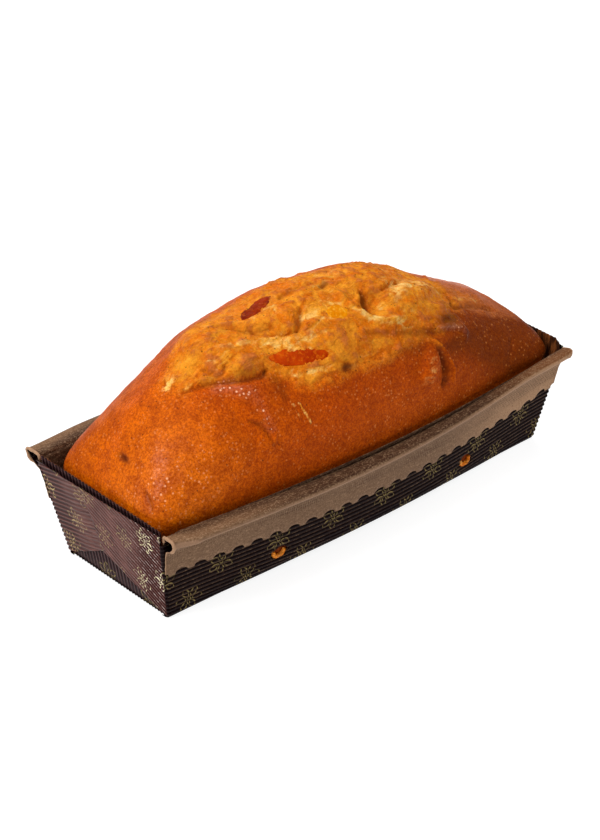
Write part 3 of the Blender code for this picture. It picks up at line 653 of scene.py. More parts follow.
def rim(name, side):
    """The roll and its band, and the outlines of their two ends. Shares run 0-1 over the roll's
    top, 1-2 down the band."""
    columns = np.linspace(-1, 1, 481)
    shares = np.concatenate([np.linspace(0, 1, 12)[:-1], 1 + np.linspace(0, 1, 15)])
    points, across, along = [], [], []
    for t in columns:
        xm = RIM_HALF * t
        top = rim_top(xm) - 0.9 * smoothstep(-110, -119, xm) * (side < 0)
        width = rim_width(xm, side)
        foot, notch = band_foot(xm)
        blunt = 1.8 * smoothstep(-107, -118, xm)
        lip = wall_out(xm, top)
        roll = [(-0.95, 4.0), (-0.85, 1.2), (-0.5, 0.35), (0.3, 0.05), (0.5 * width, 0.05)]
        roll += [(width - 1.3, 0.3), (width - 0.45, 0.75), (width, 1.5), (width - 0.35, 2.6 + blunt)]
        section = [(lip + out, top - drop) for out, drop in roll]
        section += [(wall_out(xm, top - 5.0) + (0.55 + 0.1 * blunt) * width, top - 5.0 - 0.8 * blunt)]
        section += [(wall_out(xm, top - 8.0) + 0.2 * width, top - 8.0)]
        for z, off_wall in ((top - 10.5, 0.75), (foot + 5.0, 0.6), (foot + SCALLOP_DEPTH, 0.5)):
            section += [(wall_out(xm, z) + off_wall, z)]
        section = np.array([*section, (wall_out(xm, foot) + 0.42, foot + 0.05)])
        path = np.concatenate([[0.0], np.cumsum(np.hypot(*np.diff(section, axis=0).T))])
        crease = path[7]
        where = np.where(shares < 1, shares * crease, crease + (shares - 1) * (path[-1] - notch - crease))
        out = np.interp(where, path, section[:, 0])
        z = np.interp(where, path, section[:, 1])
        left = -(119.0 + (z - 28.0) * 0.11)
        inboard = crease - where
        right = 119.4 + 1.2 * smoothstep(28, 47, z)
        right = right + 2.5 * smoothstep(-0.8, 2.8, inboard) - 1.4 * smoothstep(4.0, 7.0, inboard)
        ragged = [noise.noise(Vector((p * 0.5, side * 7.0, t))) for p in where]
        left = left - 0.5 * np.array(ragged) * smoothstep(crease - 9, crease, where)
        x = left + (right - left) * (t + 1) / 2
        points += [(a, side * b, c) for a, b, c in zip(x, out, z)]
        across += list(where - crease)
        along += list(x)
    faces = grid_faces(len(columns), len(shares), flip=side < 0)
    obj = flat_mesh(name, points, faces, paper_marks(across, along))
    return press(obj, 0.0, RIM_SHEET, KRAFT, BROWN_PAPER), points[: len(shares)], points[-len(shares) :]


def curled_edge(name, outline, roll, band):
    """The torn, pale edge of the roll's end: a bead that follows its outline, thin along the band."""
    path = np.array(outline[1:])
    heading = np.gradient(path, axis=0)
    heading /= np.linalg.norm(heading, axis=1, keepdims=True)
    outward = np.cross(heading, (1.0, 0.0, 0.0))
    thick = np.array([roll if k < 14 else band for k in range(len(path))])
    thick *= 1 + 0.35 * np.array([noise.noise(Vector(p * 0.9)) for p in path])
    points = []
    for angle in np.linspace(0, 2 * np.pi, 9)[:-1]:
        away = np.cos(angle) * np.array((1.0, 0.0, 0.0)) + np.sin(angle) * outward
        points.append(path + thick[:, None] * away)
    points = np.stack(points, 1).reshape(-1, 3)
    marks = {"across": np.full(len(points), 1.0), "along": np.full(len(points), 110.0)}
    obj = flat_mesh(name, points, tube_faces(len(path), 8), marks)
    obj.data.materials.append(KRAFT)
    return smooth(obj)


rims, curls = [], []
for side, word in ((-1, "front"), (1, "back")):
    roll, left_outline, right_outline = rim(f"rim_{word}", side)
    rims.append(roll)
    curls.append(curled_edge(f"rim_{word}_left_edge", left_outline, 0.7, 0.22))
    curls.append(curled_edge(f"rim_{word}_right_edge", right_outline, 0.24, 0.15))

for piece in (wall_front, wall_back, mould_floor, *end_pieces, mould_liner, *rims, *curls):
    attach(piece, "root")
    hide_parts("paper_case")


# Loaf.
# Sweet yeast dough, risen over the rim and baked to a thin golden brown skin. The top split as it
# rose and baked paler and rougher inside the split; the belly below stayed smooth and glossy.

RIM_LEVEL, HALF_LENGTH, PAPER = 48.0, 119.9, 1.1
SPINE_LEFT, SPINE_RIGHT, SPINE_Y, SPINE_BEND, FALL_LEFT, FALL_RIGHT = -95.0, 108.7, 4.0, 7.8, 0.67, 0.47
ROUNDNESS, BACK_LEFT_ROUNDNESS, FRONT_RIGHT_ROUNDNESS, RIGHT_END_ROUNDNESS = 1.98, 1.57, 1.86, 2.28
FOOT_ROUND, CRUST_GAP, FOOT_GAP = 5.0, 2.2, 0.8
LINES_X, LINES_Y = 340, 232


def crest(x):
    """Height of the loaf's top line: a smooth curve through a few stations."""
    heights = np.array([92.0, 106.5, 106.9, 110.1, 107.5, 104.6, 93.7, 80.4])
    count, step = len(heights), 25.0
    stations = -90.0 + step * np.arange(count)
    system, right = np.eye(count), np.zeros(count)
    for k in range(1, count - 1):
        system[k, k - 1 : k + 2] = (1, 4, 1)
        right[k] = 6 * (heights[k - 1] - 2 * heights[k] + heights[k + 1]) / step**2
    bend = np.linalg.solve(system, right)
    k = np.clip(((x - stations[0]) // step).astype(int), 0, count - 2)
    a = (stations[k + 1] - x) / step
    b = 1 - a
    curve = a * heights[k] + b * heights[k + 1]
    return curve + ((a**3 - a) * bend[k] + (b**3 - b) * bend[k + 1]) * step**2 / 6


def half_width(x, y):
    """Half the loaf's width at the rim, toward the side of y."""
    shrink = 0.8 + (CRUST_GAP - 0.8) * smoothstep(-88, -66, x) * smoothstep(112, 90, x)
    gap = np.where(y < 0, shrink, CRUST_GAP + 0.8 * smoothstep(-60, -110, x))
    return wall_out(x, RIM_LEVEL) - PAPER - gap


def corner_power(x, y):
    """How square the outline is at each of the four corners."""
    return np.where(y < 0, np.where(x < 0, 10.0, 12.0), np.where(x < 0, 8.0, 7.0))


def spine_y(x):
    """The top line in plan: behind the middle, bending forward at the left end."""
    return SPINE_Y - SPINE_BEND * smoothstep(-35.0, -92.0, x)


def dome_fraction(x, y):
    """0 on the top line, 1 on the outline at the rim."""
    spine = np.clip(x, SPINE_LEFT, SPINE_RIGHT)
    middle_y = spine_y(spine)
    dx, dy = x - spine, y - middle_y
    length = np.hypot(dx, dy) + 1e-9
    low, high = np.zeros_like(x), np.full_like(x, 200.0)
    for _ in range(26):
        middle = (low + high) / 2
        px, py = spine + dx / length * middle, middle_y + dy / length * middle
        power = corner_power(px, py)
        inside = np.abs(px / HALF_LENGTH) ** power + np.abs(py / half_width(px, py)) ** power < 1
        low, high = np.where(inside, middle, low), np.where(inside, high, middle)
    return length / low, spine


def dome(x, y):
    """Height of the smooth crust: leaner at the back of the left end, falling away past the top line."""
    fraction, spine = dome_fraction(x, y)
    offset = y - spine_y(spine)
    back_left = smoothstep(-35.0, -75.0, x) * smoothstep(0.0, 14.0, offset)
    front_right = smoothstep(40.0, 90.0, x) * smoothstep(0.0, 14.0, -offset)
    right_end = smoothstep(SPINE_RIGHT - 4.0, SPINE_RIGHT + 12.0, x) * (1 - front_right)
    power = ROUNDNESS + (BACK_LEFT_ROUNDNESS - ROUNDNESS) * back_left
    power += (FRONT_RIGHT_ROUNDNESS - ROUNDNESS) * front_right + (RIGHT_END_ROUNDNESS - ROUNDNESS) * right_end
    fall = FALL_LEFT * np.clip(SPINE_LEFT - x, 0, None) + FALL_RIGHT * np.clip(x - SPINE_RIGHT, 0, None)
    return RIM_LEVEL + (crest(spine) - fall - RIM_LEVEL) * np.clip(1 - fraction**power, 0, 1) ** (1 / power)


def frame_at(x, y):
    """A point of the dome with its outward normal."""
    x, y, e = np.asarray(x, float), np.asarray(y, float), 0.4
    slope_x = (dome(x + e, y) - dome(x - e, y)) / (2 * e)
    slope_y = (dome(x, y + e) - dome(x, y - e)) / (2 * e)
    normal = np.stack([-slope_x, -slope_y, np.ones_like(x)], -1)
    normal /= np.linalg.norm(normal, axis=-1, keepdims=True)
    return np.stack([x, y, dome(x, y)], -1), normal


def crust_axes(x, y, turn):
    """A point of the crust, with its directions along the turn, across it and outward."""
    centre, normal = frame_at(np.array([x]), np.array([y]))
    centre, normal = centre[0], normal[0]
    along = np.array([np.cos(np.radians(turn)), np.sin(np.radians(turn)), 0.0])
    along -= normal * (along @ normal)
    along /= np.linalg.norm(along)
    return centre, along, np.cross(normal, along), normal


def spot(points, x, y, turn, length, width, sharp=2.0):
    """1 in the middle of an oval on the crust, fading to 0 outside it."""
    centre, along, across, normal = crust_axes(x, y, turn)
    away = points - centre
    near = smoothstep(22.0, 14.0, np.abs(away @ normal))
    return near * np.exp(-(((away @ along) / length) ** 2 + ((away @ across) / width) ** 2) ** (sharp / 2))


def path_distance(points, stops):
    """Distance over the crust to a line of stops, signed toward +Y, and the share of the way along."""
    corners, _ = frame_at(np.array([s[0] for s in stops], float), np.array([s[1] for s in stops], float))
    runs = corners[1:] - corners[:-1]
    ways = runs / np.linalg.norm(runs, axis=1)[:, None]
    best, signed, along = np.full(len(points), 1e9), np.zeros(len(points)), np.zeros(len(points))
    for k, run in enumerate(runs):
        t = np.clip((points - corners[k]) @ run / (run @ run), 0, 1)
        away = points - (corners[k] + t[:, None] * run)
        reach = np.linalg.norm(away, axis=1)
        before = ways[max(k - 1, 0)] + ways[k]
        after = ways[k] + ways[min(k + 1, len(ways) - 1)]
        way = np.where(t[:, None] <= 0, before, np.where(t[:, None] >= 1, after, ways[k]))
        closer = reach < best
        best = np.where(closer, reach, best)
        signed = np.where(closer, np.sign(way[:, 0] * away[:, 1] - way[:, 1] * away[:, 0]) * reach, signed)
        along = np.where(closer, (k + t) / len(runs), along)
    return best, signed, along


def crack(points, stops, width):
    """1 on a line of stops, fading to its sides, narrower at its ends."""
    away, _, along = path_distance(points, stops)
    return np.exp(-((away / (width * (0.6 + 1.6 * along * (1 - along)))) ** 2))


# Strips and cubes of fruit: x, y, turn, half length, half width
APRICOT_FRONT = (-30.2, -26.6, -24.0, 13.8, 2.7)
APRICOT_BACK = (-29.8, 2.2, 12.0, 9.6, 2.7)
PEACH = (0.4, -18.0, -5.0, 4.8, 3.0)
FRUITS = (APRICOT_FRONT, APRICOT_BACK, PEACH)
SEAT_DEPTH = 1.3

# The split's near lip and its far lip
LIP = [(-86, -13), (-81, -17), (-77, -19), (-71, -23), (-64.6, -25.3), (-58, -26.6), (-50, -27), (-43, -31)]
LIP += [(-30, -36), (-14, -37.5), (6, -37), (22, -36.3), (36, -36.5), (50, -35), (62, -32.5), (68, -25)]
LIP += [(80, -19.5), (98, -19)]
FAR_LIP = [(-82, 4), (-62, 12), (-40, 17), (-10, 18), (20, 17), (44, 16), (60, 14), (78, 6), (96, -6)]

BLISTER_RIM = [(42.5, -36.2), (45.9, -38.4), (48.4, -40.7), (49.4, -42.8), (48.4, -44.6)]
SCRATCH = [(-40.2, -37.6), (-38.6, -40.2), (-37.0, -42.2)]

# Creases and ridges: half width, height, stops
FOLDS = [
    (1.5, -1.7, [(-86, -14), (-77, -20), (-68, -24.5), (-58, -27), (-51, -27.5), (-48, -26)]),
    (1.5, -1.9, [(-74, -14.2), (-73.6, -17), (-71, -20), (-69, -20.7), (-65.4, -19)]),
    (2.2, -1.9, [(-54, 2), (-46, -3.5), (-42, -8), (-33, -12)]),
    (1.4, -2.6, [(-14.5, -10.4), (-17.5, -13.7), (-21.3, -17.3), (-23.6, -18.6)]),
    (1.4, -1.9, [(32.8, -13), (38.4, -11.6), (47.2, -9.1)]),
    (1.7, -1.5, [(72.5, -8.4), (76.3, -10.6), (74.3, -16), (72.2, -19.5)]),
    (2.3, -1.3, [(71.6, -20.7), (79.4, -19.5), (89.8, -18), (98.4, -18.9)]),
    (1.6, -1.7, [(-116.4, -24.9), (-117.4, -28.7), (-118.2, -31.1)]),
    (1.1, -0.9, [(-67, -36.2), (-63.6, -37.6), (-60, -39.6), (-58.4, -42)]),
    (1.8, -0.7, [(95.1, -35.7), (92.5, -38.2), (90.1, -40.1), (87.6, -42.1)]),
    (1.3, -2.4, [(43.6, -39.8), (44.6, -41.4), (44.9, -42.6), (43.6, -44.0), (41.0, -44.9)]),
    (2.0, -0.8, [(-18.3, 0), (-5.4, 0.4), (5.5, 2)]),
    (1.2, -1.0, [(-41, -5), (-40.6, -10.2), (-35.8, -13.9), (-30, -17.2), (-24, -18.6)]),
    (3.2, -0.7, [(9, -28.5), (24, -31.5), (36, -33.2), (47, -33.4)]),
    (1.8, -1.7, [(21.2, -11.5), (19.5, -15.2), (18.7, -18.8), (20.6, -22.1)]),
    (1.1, -0.9, [(-86.5, -2.5), (-88.2, -5.2), (-86, -8.5)]),
    (3.2, 1.7, [(-79, -16.5), (-71, -21.5), (-66, -21.5), (-56, -21), (-47, -21.5), (-43.5, -25)]),
    (2.3, 1.6, [(-18.8, -18.4), (-9.5, -20.6), (2.6, -21.8)]),
    (2.0, 1.6, [(7.2, 1), (8, -5), (9.3, -12), (12.4, -21), (19, -26.3), (28, -28)]),
    (2.6, 1.3, [(30.7, -24), (45.3, -22), (60.8, -23)]),
    (1.7, 1.4, [(51, -32), (58, -31.4), (66, -30.8), (67, -32.7), (64, -35.2)]),
    (1.2, 2.0, BLISTER_RIM),
    (1.4, 1.0, [(12.4, -20), (15.6, -23.1), (19.1, -25.3), (23.4, -26.6), (33, -27.6)]),
    (2.2, 0.9, [(-30, -34.5), (-17, -35.5), (-6, -36)]),
    (1.5, 0.9, [(-64, -40.2), (-60, -42.2), (-56.6, -41)]),
    (0.7, 0.6, SCRATCH),
    (1.4, 0.9, [(14, -16.8), (16.5, -14.2), (24, -12), (33.5, -11.2)]),
]
LUMPS = [
    (23.6, -17.6, 24, 8.0, 4.6, -5.2),
    (-65, 1, 25, 7.0, 9.0, 1.2),
    (59.6, -29.4, 20, 5.0, 2.6, 1.9),
    (59.4, 12.8, -10, 8.0, 2.6, 1.2),
    (-1, 2, 0, 12.0, 7.0, 1.2),
    (-16, -29, -20, 9.0, 4.5, 0.8),
    (98, -8, 60, 7.0, 6.0, 0.9),
    (-112.7, -6.2, 80, 3.2, 1.5, -1.3),
    (79.2, 7.1, 0, 1.2, 1.2, 0.9),
    (-10, -36, 0, 2.2, 1.8, -0.8),
    (5.5, -2.1, 0, 1.8, 1.2, -0.9),
]
PILLOWS = [(35.6, -42.3, 78, 8.8, 5.4, 2.4), (-28, -8, -15, 11.0, 7.0, 2.6), (54, -13.5, 8, 17.0, 5.6, 2.4)]


def relief(points):
    """The large forms of the split: its lips, lumps, creases and hollows."""
    away, signed, along = path_distance(points, LIP)
    held = smoothstep(0.0, 0.08, along) * smoothstep(1.0, 0.9, along)
    height = -1.1 * smoothstep(-1.0, 3.0, signed) * np.exp(-np.maximum(signed, 0.0) / 9.0) * held
    for width, rise, stops in FOLDS:
        height += rise * crack(points, stops, width)
    for x, y, turn, length, width, rise in LUMPS:
        height += rise * spot(points, x, y, turn, length, width)
    for x, y, turn, length, width, rise in PILLOWS:
        height += rise * spot(points, x, y, turn, length, width, 4.0)
    return height


def rough(points, scale, stretch=(1, 1, 1), octaves=3):
    """Even noise over the crust, about -1 to 1."""
    places = points * np.array(stretch) / scale
    return np.array([noise.fractal(Vector(p), 0.7, 2.1, octaves) for p in places])


def lines_between(low, high, count, density):
    """Places of the mesh's lines, closer together where the density is high."""
    fine = np.linspace(low, high, 4001)
    weight = density(fine)
    total = np.concatenate([[0.0], np.cumsum((weight[1:] + weight[:-1]) / 2)])
    return np.interp(np.linspace(0, total[-1], count), total, fine)


# Pale crumb: ovals on the crust with their weights, then lines with width and weight
CRUMB_SPOTS = (
    ((-86.5, -5.7, 20, 4, 2.2), 0.8), ((-69.3, -15.6, -30, 4, 2.6), 0.9), ((-11, -15, -20, 5.5, 3.6), 1.0),
    ((2, -13.5, -15, 5.0, 2.2), 0.8), ((-5.7, -19.6, 0, 4.0, 1.6), 0.7), ((26.0, -20.4, 24, 5.0, 2.2), 1.0),
    ((-26, -6, -15, 9.0, 5.5), 0.35), ((35.6, -42.3, 78, 7.6, 4.2), 0.34), ((-60, -11, 0, 7.0, 3.0), 0.35),
    ((79, -13, -5, 7.0, 2.6), 0.4), ((-13.8, -15.5, 0, 3.4, 2.6), 1.0), ((-4.3, -14.4, 0, 3.4, 1.8), 1.0),
    ((-35, -17, -20, 5.0, 1.6), 0.8), ((5.0, -5.0, -60, 4.0, 1.4), 0.8),
)
CRUMB_LINES = (
    (2.4, 0.7, [(-54.9, -12.8), (-42.8, -14), (-38.5, -16.9), (-33.2, -20.8), (-28.1, -24.9),
                (-23.2, -27.2)]),
    (3.2, 0.5, [(-41.1, -14.7), (-31.7, -17.8), (-23.9, -22.0), (-10, -23.5)]),
    (4.6, 0.8, [(36, -16), (43.5, -12.9), (57.4, -9.5), (68, -10)]),
    (1.7, 1.1, [(9, -17), (12.4, -21), (15.6, -24.1), (19.1, -26.3), (23.4, -27.6), (30, -28.4), (34, -28)]),
    (2.4, 0.45, [(79.4, -14), (87, -13), (94.2, -14)]),
    (2.6, 0.55, [(-36, -31), (-26.4, -32.6), (-17.3, -34.0)]),
    (1.4, 0.5, [(-87, -12), (-84, -14.5), (-81, -15)]),
    (0.6, 1.0, SCRATCH),
    (0.5, 0.7, [(-44, -35.5), (-42.6, -38.4), (-42, -40.6)]),
)
# Darker crust, and the burnt spots in it
DARK_SPOTS = (
    ((59.6, -29.0, 10, 6.5, 3.0), 1.0), ((-10, -36, 0, 3.0, 2.2), 1.0), ((-112.7, -6.2, 80, 3.4, 1.6), 1.0),
    ((19.4, -16.5, 75, 7.0, 2.2), 0.9), ((30, -37, 0, 8.0, 3.0), 0.3), ((5.9, -2.3, 0, 3.2, 1.6), 0.9),
    ((1.2, -31.5, 0, 8.0, 3.0), 0.3), ((-24, 1, 10, 14.0, 3.0), 0.35), ((58, -37, 0, 12.0, 3.4), 0.4),
)
BURNT_SPOTS = (
    ((59.0, -28.4, 5, 7.0, 2.4), 0.9), ((66.0, -33.4, 70, 3.6, 1.4), 0.9), ((-10, -36, 10, 2.6, 1.8), 0.95),
    ((-112.7, -6.2, 80, 3, 1.3), 0.9), ((19.6, -15.5, 75, 5.5, 1.6), 0.55), ((5.9, -2.3, 30, 3, 1.3), 0.6),
    ((-63.6, -37.6, 0, 5.0, 1.0), 0.35), ((52, -37.5, 0, 8.0, 2.2), 0.3), ((-22.4, -14.6, 60, 5.0, 0.9), 0.5),
)


def spots(points, table):
    """The sum of weighted ovals."""
    return sum(weight * spot(points, *oval) for oval, weight in table)


def crust_marks(base, x, y, signed, far, torn, crags, middle, fine):
    """What the crust's colours follow, one number from 0 to 1 for each point."""
    crumb = spots(base, CRUMB_SPOTS)
    for width, weight, stops in CRUMB_LINES:
        crumb += weight * crack(base, stops, width)
    crumb = crumb * (0.9 + 0.8 * fine + 0.6 * middle)

    # Darker toward the right end, the back and the low right belly: partly browner baking, partly painted
    # shade on the right end, away from the left lamp.
    darker_crust_and_shade = 0.72 * smoothstep(24, 100, x - 0.35 * (y + 20)) * (1 - 0.35 * torn) * smoothstep(12, -20, y)
    darker_crust_and_shade += 0.28 * smoothstep(-40, 10, x) * smoothstep(-14, -40, y)
    darker_crust_and_shade *= 1 - 0.6 * smoothstep(-39, -45.5, y) * smoothstep(104, 84, x)
    darker_crust_and_shade += 0.5 * smoothstep(96, 114, x) * smoothstep(-20, -34, y)
    darker_crust_and_shade += 0.22 * smoothstep(-30, -60, x) * smoothstep(4, 16, y) + 0.16 * smoothstep(12, 40, y)
    darker_crust_and_shade += 0.3 * smoothstep(44, 96, x) * smoothstep(-16, -34, y) + spots(base, DARK_SPOTS)
    darker_crust_and_shade += 0.5 * crack(base, [(-60, -24), (-50, -25.5), (-46.5, -31), (-45.5, -35)], 3.2)
    # Painted shade: the creases of the split are painted darker along their lines.
    for width, depth, stops in FOLDS:
        if depth < 0:
            darker_crust_and_shade += 0.5 * crack(base, stops, 0.8 * width)
    darker_crust_and_shade += 0.25 * np.exp(-((far / 3.0) ** 2)) * (0.6 + 0.8 * middle)
    blister_rim = crack(base, BLISTER_RIM, 1.1)
    darker_crust_and_shade = darker_crust_and_shade * (1 - 0.7 * blister_rim) * (1 - 0.7 * spot(base, 35.6, -42.3, 78, 8.4, 5.2, 4.0))

    red = smoothstep(-80, -34, x) * smoothstep(4, -10, signed) * 0.75
    # Golden tone, with painted light on the lamp-lit left end, a painted sheen along the low belly by the rim
    # and a painted highlight on the blister's rim.
    golden_and_lit = 0.4 * smoothstep(-74, -108, x) * smoothstep(16, -20, y)
    golden_and_lit += blister_rim + 0.5 * smoothstep(-40, -46.5, y) * smoothstep(-60, 0, x) * smoothstep(100, 80, x)
    crown_and_sheen = smoothstep(-0.1, 0.55, crags) * (0.15 + 0.85 * torn)
    crown_and_sheen += 1.2 * crack(base, [(51, -32), (58, -31.4), (66, -30.8)], 1.5)
    # Painted sheen: the upper right end of the crust is painted pinkish tan.
    crown_and_sheen += 1.6 * smoothstep(-34, -14, y) * smoothstep(70, 88, x)

    # Burnt spots, and painted shade: the groove beside the blister and the creases under the near lip are
    # painted dark.
    burnt_and_crease_shade = 0.75 * crack(base, [(42.6, -38.4), (44.9, -41), (45.4, -42.6), (44.2, -44.2), (41, -45.1)], 2.3)
    burnt_and_crease_shade += spots(base, BURNT_SPOTS)
    burnt_and_crease_shade += 0.6 * crack(base, [(-67, -25.0), (-58, -27.2), (-51, -27.8), (-48, -26)], 0.9)
    burnt_and_crease_shade += 0.35 * crack(base, [(-75, -18), (-73, -20), (-69, -20.7), (-65.4, -19)], 0.9)
    burnt_and_crease_shade = burnt_and_crease_shade * (0.9 + 0.6 * fine)

    # Wet glaze with a real coat gloss, where glints are also painted into the colour: near corner, under the
    # near lip, a ridge and the back right.
    wet_and_glints = 0.5 * spot(base, -112, -30, 20, 14.0, 14.0) + 0.25 * spot(base, -94, -36, 0, 16.0, 13.0)
    wet_and_glints += crack(base, [(-75, -23.2), (-69.1, -25), (-64.7, -28.2), (-59.8, -31.6), (-57, -40)], 3.2)
    wet_and_glints += 0.6 * crack(base, [(50, -32.1), (59.3, -31.8), (66.5, -32), (65.3, -34.5)], 1.2)
    wet_and_glints += 0.5 * smoothstep(-2, 8, y) * smoothstep(70, 84, x)
    marks = {"torn": torn, "crumb": crumb, "darker_crust_and_shade": darker_crust_and_shade, "red": red, "golden_and_lit": golden_and_lit, "crown_and_sheen": crown_and_sheen}
    return {key: np.clip(values, 0, 1) for key, values in {**marks, "wet_and_glints": wet_and_glints, "burnt_and_crease_shade": burnt_and_crease_shade}.items()}


def face_outward(obj, merge=0.0):
    """Turns the faces outward, joining points that are closer than merge."""
    bm = bmesh.new()
    bm.from_mesh(obj.data)
    if merge:
        bmesh.ops.remove_doubles(bm, verts=bm.verts, dist=merge)
    bmesh.ops.recalc_face_normals(bm, faces=bm.faces)
    bm.to_mesh(obj.data)
    bm.free()
    return smooth(obj)


def bake_loaf():
    """The crust with its relief, and below it the flanks that follow the mould down to the foot."""
    a = lines_between(-1, 1, LINES_X, lambda a: 1.0 + 0.8 * np.abs(a) ** 8)
    b = lines_between(-1, 1, LINES_Y, lambda b: 1.0 + 1.6 * np.abs(b) ** 7)
    a, b = np.meshgrid(a, b, indexing="ij")
    edge = np.maximum(np.abs(a), np.abs(b)) + 1e-9
    power = corner_power(a, b)
    pull = (np.abs(a / edge) ** power + np.abs(b / edge) ** power) ** (-1 / power)
    pull = 1 + (pull - 1) * edge**4
    x, y = HALF_LENGTH * a * pull, b * pull
    y = y * half_width(x, y)
    x, y = x.ravel(), y.ravel()
    fraction, _ = dome_fraction(x, y)
    _, normal = frame_at(x * 0.9995, y * 0.9995)
    base = np.stack([x, y, dome(x, y)], -1)
    fade = smoothstep(1.0, 0.93, fraction)

    big = rough(base, 26.0)
    middle = rough(base, 8.0)
    fibre = rough(base, 3.2, (0.45, 1.2, 1.0), 4)
    fine = rough(base, 2.2, (1, 1, 1), 3)
    away, signed, _ = path_distance(base, LIP)
    far, far_signed, _ = path_distance(base, FAR_LIP)
    border = 3.4 * middle + 1.2 * fibre + 3.0 * big
    torn = smoothstep(-3.0, 6.0, signed + border) * smoothstep(-3.0, 8.0, border - far_signed)
    torn *= smoothstep(-92, -78, x + border) * smoothstep(104, 88, x + border)
    crags = 1.0 * np.abs(middle) - 0.3 + 0.5 * fibre + 0.3 * big
    height = relief(base) + (0.35 * big + 0.2 * middle + 0.07 * fine)
    height += torn * crags
    ragged = 1.3 * np.stack([middle, fibre, fine], -1)
    for fx, fy, turn, length, width in FRUITS:
        height *= 1 - 0.85 * spot(base, fx, fy, turn, length + 4.0, width + 3.0, 4.0)
    for fx, fy, turn, length, width in FRUITS:
        height -= SEAT_DEPTH * spot(base + ragged, fx, fy, turn, length, width, 8.0)
    top = base + normal * (height * fade - 0.35)[:, None]

    marks = crust_marks(base, x, y, signed, far, torn, crags, middle, fine)

    index = np.arange(LINES_X * LINES_Y).reshape(LINES_X, LINES_Y)
    faces = grid_faces(LINES_X, LINES_Y)
    ring = list(index[:, 0]) + list(index[-1, 1:]) + list(index[-2::-1, -1]) + list(index[0, -2:0:-1])
    points = [tuple(p) for p in top]
    outline = base[ring]
    share_x = outline[:, 0] / HALF_LENGTH
    share_y = outline[:, 1] / half_width(outline[:, 0], outline[:, 1])
    foot = PAPER + 0.3
    low, last = [], ring
    levels = [(z, 0) for z in (44.0, 40.0, 35.0, 30.0, 24.0, 20.0, 16.0, 12.0)]
    for z, tuck in (*levels, (8.0, 0.3), (foot + 3.0, 1.2), (foot + 1.0, 2.6), (foot, FOOT_ROUND)):
        slack = FOOT_GAP + (CRUST_GAP - FOOT_GAP) * smoothstep(24.0, RIM_LEVEL, z)
        px = share_x * (min(HALF_LENGTH, end_plane(z) - 2.9) - tuck)
        py = share_y * (wall_out(px, z) - PAPER - slack - tuck)
        for vent in VENTS_X:
            squeezed = 0.75 * np.exp(-(((px - vent - 1.2) / 3.4) ** 2) - ((z - VENT_Z + 1.6) / 3.4) ** 2)
            py = py + np.sign(py) * squeezed
        start = len(points)
        points += [(px[k], py[k], z) for k in range(len(ring))]
        fresh = list(range(start, start + len(ring)))
        for k in range(len(ring)):
            n = (k + 1) % len(ring)
            faces.append((last[k], last[n], fresh[n], fresh[k]))
        last = fresh
        low += [z] * len(ring)
    points.append((0.0, 0.0, foot))
    for k in range(len(last)):
        faces.append((last[k], last[(k + 1) % len(last)], len(points) - 1))
    # Painted shade: the flanks below the rim, down inside the mould, are given the dark mark.
    shade = smoothstep(47, 30, np.array([*low, foot]))
    marks = {key: np.concatenate([values, shade * (key == "darker_crust_and_shade")]) for key, values in marks.items()}
    return face_outward(flat_mesh("loaf_crust", points, faces, marks), 0.000005)


